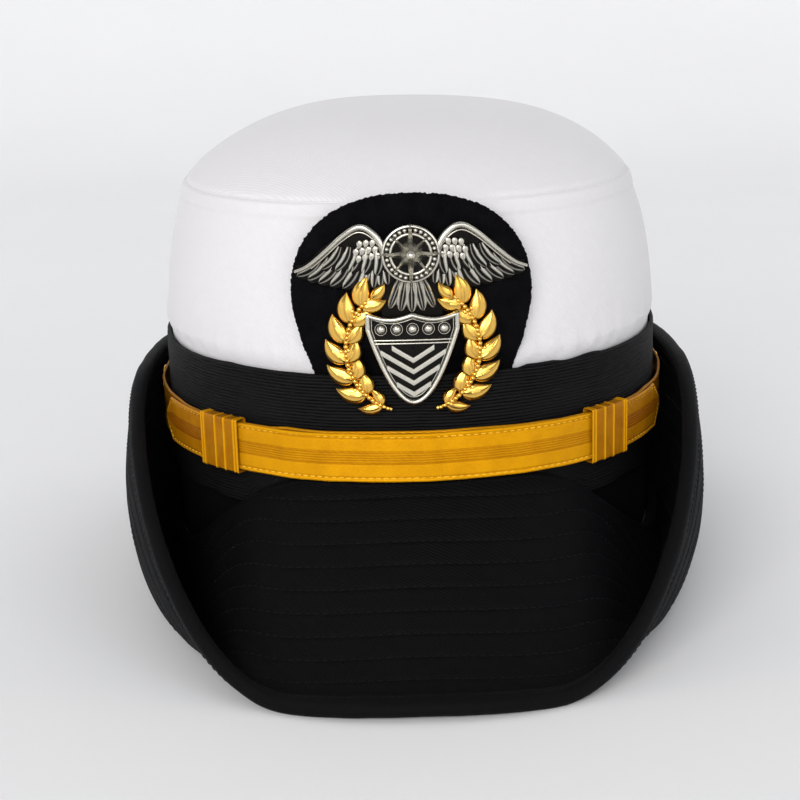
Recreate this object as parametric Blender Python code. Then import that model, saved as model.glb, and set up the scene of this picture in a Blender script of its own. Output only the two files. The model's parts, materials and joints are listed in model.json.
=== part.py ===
"""Military officer's cap with a removable domed cover, a lace chin strap and a rolled brim.

Metres, +Z up. The wearer faces -Y, so left is +X. The origin is on the surface that the cap
stands on, below the middle of its outline. Angles run round the head from the front: 0 is the
front, 90 the wearer's left side and 180 the back.
"""
import math

import bmesh
import bpy
import numpy as np

MM = 0.001

# Head opening and the layers round it
HEAD_HALF_WIDTH = 80.6 * MM
HEAD_HALF_LENGTH = 96.0 * MM
HEAD_POWER = 2.2          # superellipse power of the head oval
HEAD_STEPS = 40           # facets round every head ring, the same for all of them
GAP = 0.3 * MM            # space left between neighbouring pieces
LEATHER = 1.2 * MM
FRAME_WALL = 1.4 * MM
CLOTH = 0.8 * MM
BAND_WALL = 1.4 * MM
TAB_SLOT = 2.2 * MM       # extra room behind the band, at the front only
LINING_STANDOFF = 2.6 * MM
LINING_WALL = 0.5 * MM
LINING_LIFT = 1.5 * MM    # lining's lower edge above the sweatband's upper edge

# Heights above the surface that the cap stands on
BAND_TOP = 86.5 * MM
BAND_HEIGHT = 44.0 * MM
SKIRT_BOTTOM = 75.0 * MM
SEAM_HEIGHT = 137.5 * MM
DOME_RISE = 24.5 * MM
SWEATBAND_HEIGHT = 33.0 * MM

# Crown: taper from just above the band to the shoulder seam
PUFF_START = 86.8 * MM
PUFF_END = 92.0 * MM
PUFF = 1.4 * MM
PUFF_FRONT = 0.4 * MM
TAPER_START = 90.0 * MM
TAPER_POWER = 1.9
TAPER_SIDE = 8.8 * MM
TAPER_FRONT = 3.0 * MM
TAPER_BACK = 10.0 * MM
DOME_POWER = 3.0
DOME_FULLNESS = 0.87
PIPING_RADIUS = 1.3 * MM
PIPING_SIDES = 6
PIPING_LIFT = 0.5 * MM
SEAM_INSET = 1.0 * MM
PANEL_DROP = 1.2 * MM     # side panel's upper edge below the seam
SHOULDER = (118 * MM, 135 * MM)     # heights over which the frame draws in from the cover
SHOULDER_SLACK = 1.8 * MM           # by that much at the shoulder
WALL_LEVELS = (BAND_TOP, 104 * MM, 118 * MM, 128 * MM, 135 * MM)
DOME_REACHES = (0.97, 0.88, 0.72, 0.5, 0.25)
TIP_REACH = 0.966         # the top panel starts just inside the rolled seam

# Brim: junction with the body, rim in plan, and the slopes of its sections
JUNCTION_HALF_WIDTH = 87.0 * MM
JUNCTION_REACH = 104.0 * MM
JUNCTION_FRONT = 52.2 * MM
JUNCTION_SIDE = 18.0 * MM
JUNCTION_BACK = 14.0 * MM
RIM_HALF_WIDTH = 93.5 * MM
RIM_FRONT = 159.0 * MM
RIM_BACK = 119.0 * MM
RIM_POWER = 2.65
RIM_HEIGHT_FRONT = 2.47 * MM
RIM_HEIGHT_SIDE = 73.0 * MM
RIM_HEIGHT_BACK = 64.0 * MM
FAN_OUT = 30.0 * MM       # how strongly the sections leave square to the head oval
# Degrees off the front between which each feature changes from one form to the next
JUNCTION_DROP = (21, 65)
SECTION_ROLL = (28, 70)
EDGE_ROLL = (0, 68)
RIM_RISE = (23, 81)
RIM_FALL = (80, 180)
TOWARDS_BACK = (90, 180)
# start slope in degrees, start pull in mm, end slope, end pull
BRIM_FRONT = (-48.0, 54.0, -20.0, 11.0)
BRIM_SIDE = (-95.0, 38.0, 110.0, 49.0)
BRIM_BACK = (-85.0, 43.0, 85.0, 30.0)
CORE_WALL = 1.1 * MM
CORE_SETBACK = 2.9 * MM   # from the rim
COVER_WALL = 0.7 * MM
COVER_SETBACK = 0.9 * MM
BINDING_WALL = 0.6 * MM
BINDING_WIDTH = 5.0 * MM
BINDING_NOSE = 0.8 * MM   # past the rim
WIRE_RADIUS = 0.6 * MM
WIRE_SETBACK = 1.6 * MM
WIRE_SIDES = 6
FOLD_REST = CORE_WALL / 2 + GAP + COVER_WALL  # the fold's mid-surface where its underside lies flat
# stations from the junction to the binding, closer together round the fold
BRIM_SHARES = (0.0, 0.1, 0.165, 0.22, 0.29, 0.36, 0.45, 0.58, 0.78, 1.0)
EDGE_DROP = 1.5 * MM      # body's lower edge below the brim junction
BAND_LIFT = 1.2 * MM      # band's lower edge above the brim junction
TAPE_HANG = 1.3 * MM      # tape's lower edge below the body's

# Chin strap, keepers and side buttons
STRAP_BOTTOM = 54.0 * MM
STRAP_TOP = 69.5 * MM
STRAP_WALL = 1.0 * MM
STRAP_CLEAR = 1.6 * MM    # from the band to the inner layer
STRAP_STEP = 3.75         # degrees between strap stations
STRAP_ROUND_START = 90.0  # degrees: the inner layer's end is rounded past the button
STRAP_ROUND_SPAN = 7.6
STRAP_ROUND_STEPS = (94.2, 96.2, 97.2)
STRAP_ROUND_BLUNT = 0.02  # squared share of the height left at the very end
STRAP_TIP_ANGLE = 66.0
STRAP_TIP_SPAN = 5.0      # degrees from the shoulders of the point to its tip
STRAP_TIP_BLUNT = 0.6 * MM
KEEPER_ANGLE = 42.0
KEEPER_HALF_SPAN = 4.3    # degrees
KEEPER_WALL = 0.6 * MM
KEEPER_CLEAR = 0.45 * MM
KEEPER_EDGE_CLEAR = 0.35 * MM
BUTTON_RADIUS = 6.4 * MM
BUTTON_RISE = 3.0 * MM
# dome of the button's face, as shares of its radius and its rise
BUTTON_DOME = ((1.0, 0.0), (1.0, 0.25), (0.86, 0.62), (0.55, 0.9), (0.2, 1.0))
BUTTON_SIDES = 16
SHANK_RADIUS = 1.5 * MM
SHANK_HOLE = 1.8 * MM
SHANK_END = 2.2 * MM      # past the frame's inner face
SHANK_CUT = (-2.0 * MM, 11.0 * MM)
CLIP_RADIUS = 4.0 * MM
CLIP_WALL = 0.9 * MM
CLIP_GRIP = 0.5 * MM      # clip's inner face from the shank's end
METAL_BORE_CLEAR = 0.15 * MM

# Badge and the tab that carries it: distances ahead of the head oval's front
TAB_LOW = 4.4 * MM
TAB_HIGH = 8.2 * MM
TAB_LEAN_START = 88.5 * MM
TAB_LEAN_END = 97.0 * MM
TAB_WALL = 0.9 * MM
TAB_TIGHTER = 1.2 * MM    # the front plates curve that much more tightly than the head oval
TAB_HALF_WIDTH = 36.3 * MM
TAB_WIDEST = 109.7 * MM
TAB_TOP = 141.5 * MM
TAB_BOTTOM = 79.0 * MM
TAB_POWER = 2.3
TAB_DRAW_IN = 5.8 * MM    # width at each side over which the lower edge falls away
TAB_FALL = 23.0 * MM
TAB_FALL_POWER = 0.75
TAB_LEVELS = 16
STIFFENER_WALL = 0.6 * MM
STIFFENER_BOTTOM = 98.0 * MM
STIFFENER_MARGIN = 4.0 * MM
BACKPLATE_OFFSET = 9.5 * MM
BACKPLATE_WALL = 0.6 * MM
BACKPLATE_BOTTOM = 92.0 * MM
BACKPLATE_TOP = 121.0 * MM
BACKPLATE_COLUMNS = (-9.0 * MM, -4.5 * MM, 0.0, 4.5 * MM, 9.0 * MM)
RELIEF_OFFSET = 10.4 * MM
RELIEF_WALL = 1.2 * MM
SHIELD_OFFSET = 11.9 * MM
SHIELD_WALL = 1.4 * MM
SHIELD_HALF_WIDTH = 13.9 * MM
SHIELD_TOP = 106.5 * MM
SHIELD_DISH = 1.4 * MM
SHIELD_CORNER = 101.5 * MM
SHIELD_TIP = 78.5 * MM
SHIELD_SIDE_POWER = 1.9
# spread wing, from its root at the boss to its tip: x, lowest z, highest z in mm
WING_OUTLINE = ((3.0, 113.0, 122.0), (8.0, 114.0, 128.0), (13.0, 114.5, 132.0), (17.0, 114.5, 131.5),
                (22.0, 114.8, 128.5), (27.0, 115.6, 124.5), (32.0, 116.6, 121.5), (34.4, 117.6, 119.8))
BOSS_HEIGHT = 124.0 * MM
BOSS_RADIUS = 8.6 * MM
BOSS_RISE = 2.0 * MM
# dome of the boss, as shares of its radius and its rise
BOSS_DOME = ((1.0, 0.0), (1.0, 0.45), (0.85, 0.85), (0.3, 1.0))
BOSS_SIDES = 24
STAR_RADIUS = 10.5 * MM
STAR_WALL = 0.8 * MM
STAR_SHARES = (1.0, 0.42, 0.72, 0.42)   # long ray, notch, short ray, notch
STAR_POINTS = 16

# Leafy branches beside the shield: each follows an arc in front view
BRANCH_OFFSET_LOW = 8.5 * MM        # close to the band low down, clear of the strap
BRANCH_WALL_LOW = 0.6 * MM
BRANCH_LEAN = (79.0 * MM, 92.0 * MM)
BRANCH_CENTRE = (2.5 * MM, 95.0 * MM)
BRANCH_ARC = (18.0 * MM, 19.0 * MM)
BRANCH_TURN = (-78.0, 52.0)         # degrees along the arc
BRANCH_HALF_END = 3.2 * MM
BRANCH_HALF_MIDDLE = 5.2 * MM
BRANCH_HALF_TIP = 1.6 * MM
BRANCH_SWELL_POWER = 0.6
BRANCH_STEPS = 12

# Screw fixing behind the badge
POST_HEIGHT = 108.0 * MM
POST_RADIUS = 1.3 * MM
POST_LENGTH = 4.4 * MM
POST_HOLE = 1.7 * MM
POST_SIDES = 12
WASHER_RADIUS = 3.6 * MM
WASHER_WALL = 0.4 * MM
NUT_RADIUS = 4.2 * MM
NUT_WALL = 1.3 * MM
NUT_SIDES = 16

BELLY_BACK = 1.23 * MM    # how much further the rolled back reaches past its rim than the visor
HEAD_Y = (RIM_FRONT - RIM_BACK - BELLY_BACK) / 2


def clear_scene():
    for old in list(bpy.data.objects):
        bpy.data.objects.remove(old, do_unlink=True)


def material(name, colour, roughness, metallic=0.0):
    made = bpy.data.materials.new(name)
    made.use_nodes = True
    shader = made.node_tree.nodes["Principled BSDF"]
    shader.inputs["Base Color"].default_value = (*colour, 1.0)
    shader.inputs["Roughness"].default_value = roughness
    shader.inputs["Metallic"].default_value = metallic
    return made


def finish(name, bm, finish_material, flat=False):
    """Turn a bmesh into a named object with its faces pointing out."""
    bmesh.ops.recalc_face_normals(bm, faces=bm.faces)
    mesh = bpy.data.meshes.new(name)
    bm.to_mesh(mesh)
    bm.free()
    mesh.materials.append(finish_material)
    made = bpy.data.objects.new(name, mesh)
    bpy.context.scene.collection.objects.link(made)
    if not flat:
        mesh.shade_smooth()
        mesh.set_sharp_from_angle(angle=math.radians(35))
    return made


def loft(name, sections, finish_material, closed=False, flat=False, returning=None):
    """Skin matching section loops, as a closed ring or as a bar with end faces.

    With returning, faces are triangles, and the faces it lists run back from the rim, so their
    diagonals flip: both sides of a thin layer, and the next layer, are then split alike.
    """
    bm = bmesh.new()
    loops = [[bm.verts.new(point) for point in section] for section in sections]
    count = len(loops[0])
    pairs = list(zip(loops, loops[1:]))
    if closed:
        pairs.append((loops[-1], loops[0]))
    for here, there in pairs:
        for i in range(count):
            j = (i + 1) % count
            if returning is None:
                bm.faces.new((here[i], here[j], there[j], there[i]))
            elif i in returning:
                bm.faces.new((here[i], here[j], there[i]))
                bm.faces.new((here[j], there[j], there[i]))
            else:
                bm.faces.new((here[i], here[j], there[j]))
                bm.faces.new((here[i], there[j], there[i]))
    if not closed:
        bm.faces.new(loops[0])
        bm.faces.new(loops[-1])
    return finish(name, bm, finish_material, flat)


def cup(name, outer_rings, inner_rings, outer_apex, inner_apex, finish_material):
    """A shell closed at the top: ring lists run from the open edge up to the apex."""
    bm = bmesh.new()
    edges = []
    for rings, apex in ((outer_rings, outer_apex), (inner_rings, inner_apex)):
        loops = [[bm.verts.new(point) for point in ring] for ring in rings]
        top = bm.verts.new(apex)
        count = len(loops[0])
        for here, there in zip(loops, loops[1:]):
            for i in range(count):
                j = (i + 1) % count
                bm.faces.new((here[i], here[j], there[j], there[i]))
        for i in range(count):
            bm.faces.new((loops[-1][i], loops[-1][(i + 1) % count], top))
        edges.append(loops[0])
    outer, inner = edges
    for i in range(len(outer)):
        j = (i + 1) % len(outer)
        bm.faces.new((outer[i], outer[j], inner[j], inner[i]))
    return finish(name, bm, finish_material)


def turned(name, profile, centre, axis, sides, finish_material, hollow=False):
    """Spin (radius, height) points about an axis: a closed loop when hollow, else end faces."""
    axis = np.array(axis, dtype=float)
    first = np.array((0.0, 0.0, 1.0))
    second = np.cross(axis, first)

    def spin(angle):
        out = first * math.cos(angle) + second * math.sin(angle)
        return [np.array(centre) + out * radius + axis * height for radius, height in profile]

    if hollow:
        turns = [spin(math.tau * i / sides) for i in range(sides)]
        return loft(name, turns, finish_material, closed=True)
    spun = [spin(math.tau * i / sides) for i in range(sides)]
    rings = [[turn[k] for turn in spun] for k in range(len(profile))]
    return loft(name, rings, finish_material)


def ring_profile(bore, radius, low, wall):
    """Section of a flat ring for turned: washer, nut or clip."""
    return [(bore, low), (radius, low), (radius, low + wall), (bore, low + wall)]


def cut(target, cutter):
    """Boolean a hidden cutter out of a piece."""
    cutter.hide_render = True
    cutter.display_type = "WIRE"
    modifier = target.modifiers.new("hole", "BOOLEAN")
    modifier.operation = "DIFFERENCE"
    modifier.solver = "EXACT"
    modifier.object = cutter


def ramp(value, start, end):
    part = min(max((value - start) / (end - start), 0.0), 1.0)
    return part * part * (3 - 2 * part)


def mix(start, end, part):
    return start + (end - start) * part


def off_front(angle):
    """Degrees away from the front, 0 to 180, whichever side."""
    return abs((math.degrees(angle) + 180.0) % 360.0 - 180.0)


def oval(angle, half_width, front, back, power=HEAD_POWER):
    """Plan point of a superellipse about the head's centre."""
    side, ahead = math.sin(angle), math.cos(angle)
    reach = front if ahead > 0 else back
    size = (abs(side) ** power + abs(ahead) ** power) ** (-1 / power)
    return half_width * side * size, HEAD_Y - reach * ahead * size


def head_point(angle, height, offset, front_extra=0.0):
    """A point that far outside the head oval; front_extra reaches further at the front."""
    x, y = oval(angle, HEAD_HALF_WIDTH + offset, HEAD_HALF_LENGTH + offset + front_extra,
                HEAD_HALF_LENGTH + offset)
    return x, y, height


def head_angles():
    return [math.tau * i / HEAD_STEPS for i in range(HEAD_STEPS)]


def junction_height(angle):
    degrees = off_front(angle)
    height = mix(JUNCTION_FRONT, JUNCTION_SIDE, ramp(degrees, *JUNCTION_DROP))
    return mix(height, JUNCTION_BACK, ramp(degrees, *TOWARDS_BACK))


def lower_edge(angle):
    return junction_height(angle) - EDGE_DROP


# Offsets of the layers, from the head oval outwards
FRAME_IN = LEATHER + GAP
FRAME_OUT = FRAME_IN + FRAME_WALL
COVER_IN = FRAME_OUT + GAP
COVER_OUT = COVER_IN + CLOTH
BAND_IN = COVER_OUT + GAP + 0.1 * MM
BAND_OUT = BAND_IN + BAND_WALL
LINING_OUT = FRAME_IN - LINING_STANDOFF


def crown_point(angle, height, inset, puffed):
    """A point of the crown wall, inset from the cover's outer face."""
    taper = max((height - TAPER_START) / (SEAM_HEIGHT - TAPER_START), 0.0) ** TAPER_POWER
    puff = ramp(height, PUFF_START, PUFF_END) if puffed else 0.0
    offset = COVER_OUT - inset
    slack = 0.0 if puffed else PUFF
    half_width = HEAD_HALF_WIDTH + offset + PUFF * puff - max(TAPER_SIDE * taper - slack, 0.0)
    front = HEAD_HALF_LENGTH + offset + PUFF_FRONT * puff
    front -= max(TAPER_FRONT * taper - slack * PUFF_FRONT / PUFF, 0.0)
    back = HEAD_HALF_LENGTH + offset + PUFF * puff - max(TAPER_BACK * taper - slack, 0.0)
    x, y = oval(angle, half_width, front, back)
    return x, y, height


def dome_point(angle, inset, reach):
    """A point of the domed top: reach is 1 at the seam and 0 at the top."""
    x, y, _ = crown_point(angle, SEAM_HEIGHT, inset, True)
    rise = DOME_RISE * (1 - reach ** DOME_POWER) ** DOME_FULLNESS
    return x * reach, HEAD_Y + (y - HEAD_Y) * reach, SEAM_HEIGHT + rise - inset


def shell_rings(bottom, inset, levels):
    """Rings from a lower edge, up the wall and over the dome to its apex."""
    rings = [[crown_point(a, bottom(a), inset, False) for a in head_angles()]]
    for level in levels:
        drawn_in = inset + SHOULDER_SLACK * ramp(level, *SHOULDER)
        rings.append([crown_point(a, level, drawn_in, False) for a in head_angles()])
    inset += SHOULDER_SLACK
    rings += [[dome_point(a, inset, reach) for a in head_angles()] for reach in DOME_REACHES]
    return rings, (0.0, HEAD_Y, SEAM_HEIGHT + DOME_RISE - inset)


def build_crown_frame(finish_material):
    outer, outer_top = shell_rings(lower_edge, COVER_OUT - FRAME_OUT, WALL_LEVELS)
    inner, inner_top = shell_rings(lower_edge, COVER_OUT - FRAME_IN, WALL_LEVELS)
    return cup("crown_frame", outer, inner, outer_top, inner_top, finish_material)


def build_crown_lining(finish_material):
    def bottom(angle):
        return lower_edge(angle) + SWEATBAND_HEIGHT + LINING_LIFT

    levels = WALL_LEVELS[1:]
    outer, outer_top = shell_rings(bottom, COVER_OUT - LINING_OUT, levels)
    inner, inner_top = shell_rings(bottom, COVER_OUT - LINING_OUT + LINING_WALL, levels)
    return cup("crown_lining", outer, inner, outer_top, inner_top, finish_material)


def build_cover(finish_material):
    """Side panel, rolled seam and domed top panel of the removable cover."""
    levels = [SKIRT_BOTTOM, PUFF_START, (PUFF_START + PUFF_END) / 2, PUFF_END, *WALL_LEVELS[1:]]
    levels.append(SEAM_HEIGHT - PANEL_DROP)

    def side_section(angle):
        outer = [crown_point(angle, level, 0.0, True) for level in levels]
        inner = [crown_point(angle, level, CLOTH, True) for level in reversed(levels)]
        return outer + inner

    side = loft("cover_side", [side_section(a) for a in head_angles()], finish_material, closed=True)

    def roll_section(angle):
        x, y, z = crown_point(angle, SEAM_HEIGHT, SEAM_INSET, True)
        away = np.array((x, y - HEAD_Y, 0.0))
        away /= np.linalg.norm(away)
        centre = np.array((x, y, z + PIPING_LIFT))
        turns = [math.tau * k / PIPING_SIDES for k in range(PIPING_SIDES)]
        up = np.array((0.0, 0.0, 1.0))
        return [centre + PIPING_RADIUS * (away * math.cos(t) + up * math.sin(t)) for t in turns]

    roll = loft("cover_piping", [roll_section(a) for a in head_angles()], finish_material, closed=True)

    reaches = (TIP_REACH, *DOME_REACHES[1:])
    outer = [[dome_point(a, 0.0, reach) for a in head_angles()] for reach in reaches]
    inner = [[dome_point(a, CLOTH, reach) for a in head_angles()] for reach in reaches]
    top = SEAM_HEIGHT + DOME_RISE
    tip = cup("cover_tip", outer, inner, (0.0, HEAD_Y, top), (0.0, HEAD_Y, top - CLOTH), finish_material)
    return side, roll, tip


def head_ring(name, finish_material, low, high, inside, outside, front_extra=0.0):
    """A strip round the head between two heights and two offsets."""
    def section(angle):
        return [head_point(angle, low(angle), inside, front_extra),
                head_point(angle, low(angle), outside, front_extra),
                head_point(angle, high(angle), outside, front_extra),
                head_point(angle, high(angle), inside, front_extra)]
    return loft(name, [section(a) for a in head_angles()], finish_material, closed=True)


def band_bottom(angle):
    return max(junction_height(angle) + BAND_LIFT, BAND_TOP - BAND_HEIGHT)


def build_body_strips(mohair, canvas, cloth, leather, tape):
    """The strips on the outside and the inside of the frame."""
    def level(height):
        return lambda angle: height

    def above_edge(height):
        return lambda angle: lower_edge(angle) + height

    band = head_ring("mohair_band", mohair, band_bottom, level(BAND_TOP), BAND_IN, BAND_OUT, TAB_SLOT)
    backing = head_ring("band_backing", canvas, band_bottom, level(SKIRT_BOTTOM - GAP),
                        COVER_IN, COVER_OUT)
    head_ring("side_cloth", cloth, lower_edge, lambda a: band_bottom(a) - GAP, COVER_IN, COVER_OUT)
    head_ring("sweatband", leather, above_edge(GAP), above_edge(SWEATBAND_HEIGHT), 0.0, LEATHER)
    head_ring("sweatband_tape", tape, above_edge(-TAPE_HANG), above_edge(-GAP), 0.0, COVER_OUT)
    return band, backing


def brim_settings(degrees):
    """Slopes and pulls of the brim's section at that angle off the front."""
    rolled = ramp(degrees, *SECTION_ROLL)
    rolled_edge = ramp(degrees, *EDGE_ROLL)
    behind = ramp(degrees, *TOWARDS_BACK)
    shares = (rolled, rolled, rolled_edge, rolled)
    values = zip(BRIM_FRONT, BRIM_SIDE, BRIM_BACK, shares)
    return [mix(mix(front, side, share), back, behind) for front, side, back, share in values]


def brim_point(angle, along):
    """Mid-surface of the brim: along is 0 at the junction and 1 at the rim."""
    degrees = off_front(angle)
    x, y = oval(angle, JUNCTION_HALF_WIDTH, JUNCTION_REACH, JUNCTION_REACH)
    start = np.array((x, y, junction_height(angle)))
    x, y = oval(angle, RIM_HALF_WIDTH, RIM_FRONT, RIM_BACK, RIM_POWER)
    rim_height = mix(RIM_HEIGHT_FRONT, RIM_HEIGHT_SIDE, ramp(degrees, *RIM_RISE))
    rim_height = mix(rim_height, RIM_HEIGHT_BACK, ramp(degrees, *RIM_FALL))
    end = np.array((x, y, rim_height))
    side, ahead = math.sin(angle), math.cos(angle)
    square = np.array((math.copysign(abs(side) ** (HEAD_POWER - 1), side) / JUNCTION_HALF_WIDTH,
                       -math.copysign(abs(ahead) ** (HEAD_POWER - 1), ahead) / JUNCTION_REACH, 0.0))
    outward = (end - start) * (1, 1, 0) + FAN_OUT * square / np.linalg.norm(square)
    outward /= np.linalg.norm(outward)
    up = np.array((0.0, 0.0, 1.0))
    slope_in, pull_in, slope_out, pull_out = brim_settings(degrees)
    slope_in, slope_out = math.radians(slope_in), math.radians(slope_out)
    second = start + pull_in * MM * (outward * math.cos(slope_in) + up * math.sin(slope_in))
    third = end - pull_out * MM * (outward * math.cos(slope_out) + up * math.sin(slope_out))
    back = 1 - along
    point = (back ** 3 * start + 3 * along * back ** 2 * second
             + 3 * along ** 2 * back * third + along ** 3 * end)
    point[2] = max(point[2], FOLD_REST)
    return point


def brim_frame(angle, along):
    """Point, direction towards the rim, and normal on the brim's upper face."""
    step = 0.004
    low, high = max(along - step, 0.0), min(along + step, 1.0)
    outward = brim_point(angle, high) - brim_point(angle, low)
    outward /= np.linalg.norm(outward)
    around = brim_point(angle + step, along) - brim_point(angle - step, along)
    normal = np.cross(outward, around)
    normal /= np.linalg.norm(normal)
    return brim_point(angle, along), outward, normal


def brim_length(angle):
    points = [brim_point(angle, k / 40) for k in range(41)]
    return sum(np.linalg.norm(b - a) for a, b in zip(points, points[1:]))


def brim_stations(angle, setbacks):
    """Shares of the section's length, up to the binding and then at each setback."""
    length = brim_length(angle)
    binding = 1 - BINDING_WIDTH / length
    return [binding * share for share in BRIM_SHARES] + [1 - s / length for s in setbacks]


def brim_layer(name, low, high, setbacks, finish_material):
    """One layer of the brim, between two offsets, ending at the last setback from the rim."""
    def section(angle):
        frames = [brim_frame(angle, share) for share in brim_stations(angle, setbacks)]
        upper = [point + normal * high for point, _, normal in frames]
        lower = [point + normal * low for point, _, normal in reversed(frames)]
        return upper + lower
    last = len(BRIM_SHARES) - 1 + len(setbacks)
    lower_side = range(last + 1, 2 * last + 2)
    return loft(name, [section(a) for a in head_angles()], finish_material, closed=True,
                returning=lower_side)


def rim_ring(name, outline, finish_material, returning):
    """A ring along the rim: outline points are (distance past the rim, distance along the normal)."""
    def section(angle):
        length = brim_length(angle)
        points = []
        for past, above in outline:
            point, outward, normal = brim_frame(angle, 1 + min(past, 0.0) / length)
            points.append(point + outward * max(past, 0.0) + normal * above)
        return points
    return loft(name, [section(a) for a in head_angles()], finish_material, closed=True,
                returning=returning)


def build_brim(board, twill, under, steel, binding):
    half_core = CORE_WALL / 2
    cover_low = half_core + GAP
    cover_high = cover_low + COVER_WALL
    bind_low = cover_high + GAP
    bind_high = bind_low + BINDING_WALL
    setbacks = [CORE_SETBACK, COVER_SETBACK]
    brim_layer("brim_core", -half_core, half_core, [CORE_SETBACK], board)
    brim_layer("brim_top_cover", cover_low, cover_high, setbacks, twill)
    brim_layer("brim_under_cover", -cover_high, -cover_low, setbacks, under)
    turns = [math.tau * k / WIRE_SIDES for k in range(WIRE_SIDES)]
    wire = [(WIRE_RADIUS * math.cos(t) - WIRE_SETBACK, WIRE_RADIUS * math.sin(t)) for t in turns]
    rim_ring("brim_wire", wire, steel, returning=range(0, WIRE_SIDES // 2))
    nose_high = 0.45 * bind_high
    outside = [(-BINDING_WIDTH, bind_high), (-CORE_SETBACK, bind_high), (-COVER_SETBACK, bind_high),
               (BINDING_NOSE, nose_high), (BINDING_NOSE, -nose_high), (-COVER_SETBACK, -bind_high),
               (-CORE_SETBACK, -bind_high), (-BINDING_WIDTH, -bind_high)]
    inside = [(-BINDING_WIDTH, -bind_low), (-CORE_SETBACK, -bind_low), (0.0, -bind_low),
              (0.0, bind_low), (-CORE_SETBACK, bind_low), (-BINDING_WIDTH, bind_low)]
    rim_ring("brim_binding", outside + inside, binding, returning=(4, 5, 6, 11, 12))


STRAP_IN = BAND_OUT + STRAP_CLEAR


def strap_box(angle, offset, wall, bottom, top):
    """Four corners of a strap's section."""
    return [head_point(angle, bottom, offset, TAB_SLOT),
            head_point(angle, bottom, offset + wall, TAB_SLOT),
            head_point(angle, top, offset + wall, TAB_SLOT),
            head_point(angle, top, offset, TAB_SLOT)]


def build_straps(lace):
    """Inner layer from button to button, outer layer with its two pointed ends."""
    middle = (STRAP_BOTTOM + STRAP_TOP) / 2
    half = (STRAP_TOP - STRAP_BOTTOM) / 2
    steps = int(STRAP_ROUND_START / STRAP_STEP)
    degrees = [-degree for degree in reversed(STRAP_ROUND_STEPS)]
    degrees += [STRAP_STEP * k for k in range(-steps, steps + 1)]
    degrees += STRAP_ROUND_STEPS
    sections = []
    for degree in degrees:
        past = max(abs(degree) - STRAP_ROUND_START, 0.0) / STRAP_ROUND_SPAN
        height = half * math.sqrt(max(1 - past ** 2, STRAP_ROUND_BLUNT))
        sections.append(strap_box(math.radians(degree), STRAP_IN, STRAP_WALL,
                                  middle - height, middle + height))
    rear = loft("chin_strap_rear", sections, lace, flat=True)
    tip_start = STRAP_TIP_ANGLE - STRAP_TIP_SPAN
    steps = int(tip_start / STRAP_STEP)
    degrees = [STRAP_STEP * k for k in range(-steps, steps + 1)]
    degrees = [-STRAP_TIP_ANGLE, -tip_start] + degrees + [tip_start, STRAP_TIP_ANGLE]
    sections = []
    for degree in degrees:
        height = half if abs(degree) <= tip_start else STRAP_TIP_BLUNT
        sections.append(strap_box(math.radians(degree), STRAP_IN + STRAP_WALL + GAP, STRAP_WALL,
                                  middle - height, middle + height))
    loft("chin_strap_front", sections, lace, flat=True)
    return rear


def build_keeper(name, side, lace):
    """A loop round both strap layers."""
    inner = STRAP_IN - KEEPER_CLEAR
    outer = STRAP_IN + 2 * STRAP_WALL + GAP + KEEPER_CLEAR
    low = STRAP_BOTTOM - KEEPER_EDGE_CLEAR
    high = STRAP_TOP + KEEPER_EDGE_CLEAR
    wall = KEEPER_WALL
    corners = [((inner, low), (inner - wall, low - wall)), ((outer, low), (outer + wall, low - wall)),
               ((outer, high), (outer + wall, high + wall)), ((inner, high), (inner - wall, high + wall))]
    spans = [-KEEPER_HALF_SPAN, 0.0, KEEPER_HALF_SPAN]
    sections = []
    for near, far in corners:
        near_row = [head_point(math.radians(side * (KEEPER_ANGLE + s)), near[1], near[0], TAB_SLOT)
                    for s in spans]
        far_row = [head_point(math.radians(side * (KEEPER_ANGLE + s)), far[1], far[0], TAB_SLOT)
                   for s in reversed(spans)]
        sections.append(near_row + far_row)
    return loft(name, sections, lace, closed=True, flat=True)


def build_button(side, word, brass):
    """Domed button with its shank, and the spring clip that holds it inside the frame."""
    axis = (side, 0.0, 0.0)
    face = HEAD_HALF_WIDTH + STRAP_IN + STRAP_WALL + GAP
    height = (STRAP_BOTTOM + STRAP_TOP) / 2
    inner_end = HEAD_HALF_WIDTH + FRAME_IN - SHANK_END
    centre = (side * face, HEAD_Y, height)
    profile = [(SHANK_RADIUS, inner_end - face), (SHANK_RADIUS, 0.0)]
    profile += [(BUTTON_RADIUS * share, BUTTON_RISE * rise) for share, rise in BUTTON_DOME]
    turned("button_" + word, profile, centre, axis, BUTTON_SIDES, brass)
    clip_low = inner_end + CLIP_GRIP - face
    clip = ring_profile(SHANK_RADIUS + METAL_BORE_CLEAR, CLIP_RADIUS, clip_low, CLIP_WALL)
    turned("button_clip_" + word, clip, centre, axis, BUTTON_SIDES, brass, hollow=True)


def shank_cutter(side, word):
    centre = (side * HEAD_HALF_WIDTH, HEAD_Y, (STRAP_BOTTOM + STRAP_TOP) / 2)
    profile = [(SHANK_HOLE, reach) for reach in SHANK_CUT]
    return turned("shank_cutter_" + word, profile, centre, (side, 0.0, 0.0), BUTTON_SIDES, None)


def front_y(x, offset):
    """Y of the front surface that far ahead of the head oval, at a given X."""
    half_width = HEAD_HALF_WIDTH + offset - TAB_TIGHTER
    share = 1 - (abs(x) / half_width) ** HEAD_POWER
    return HEAD_Y - (HEAD_HALF_LENGTH + offset) * share ** (1 / HEAD_POWER)


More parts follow.
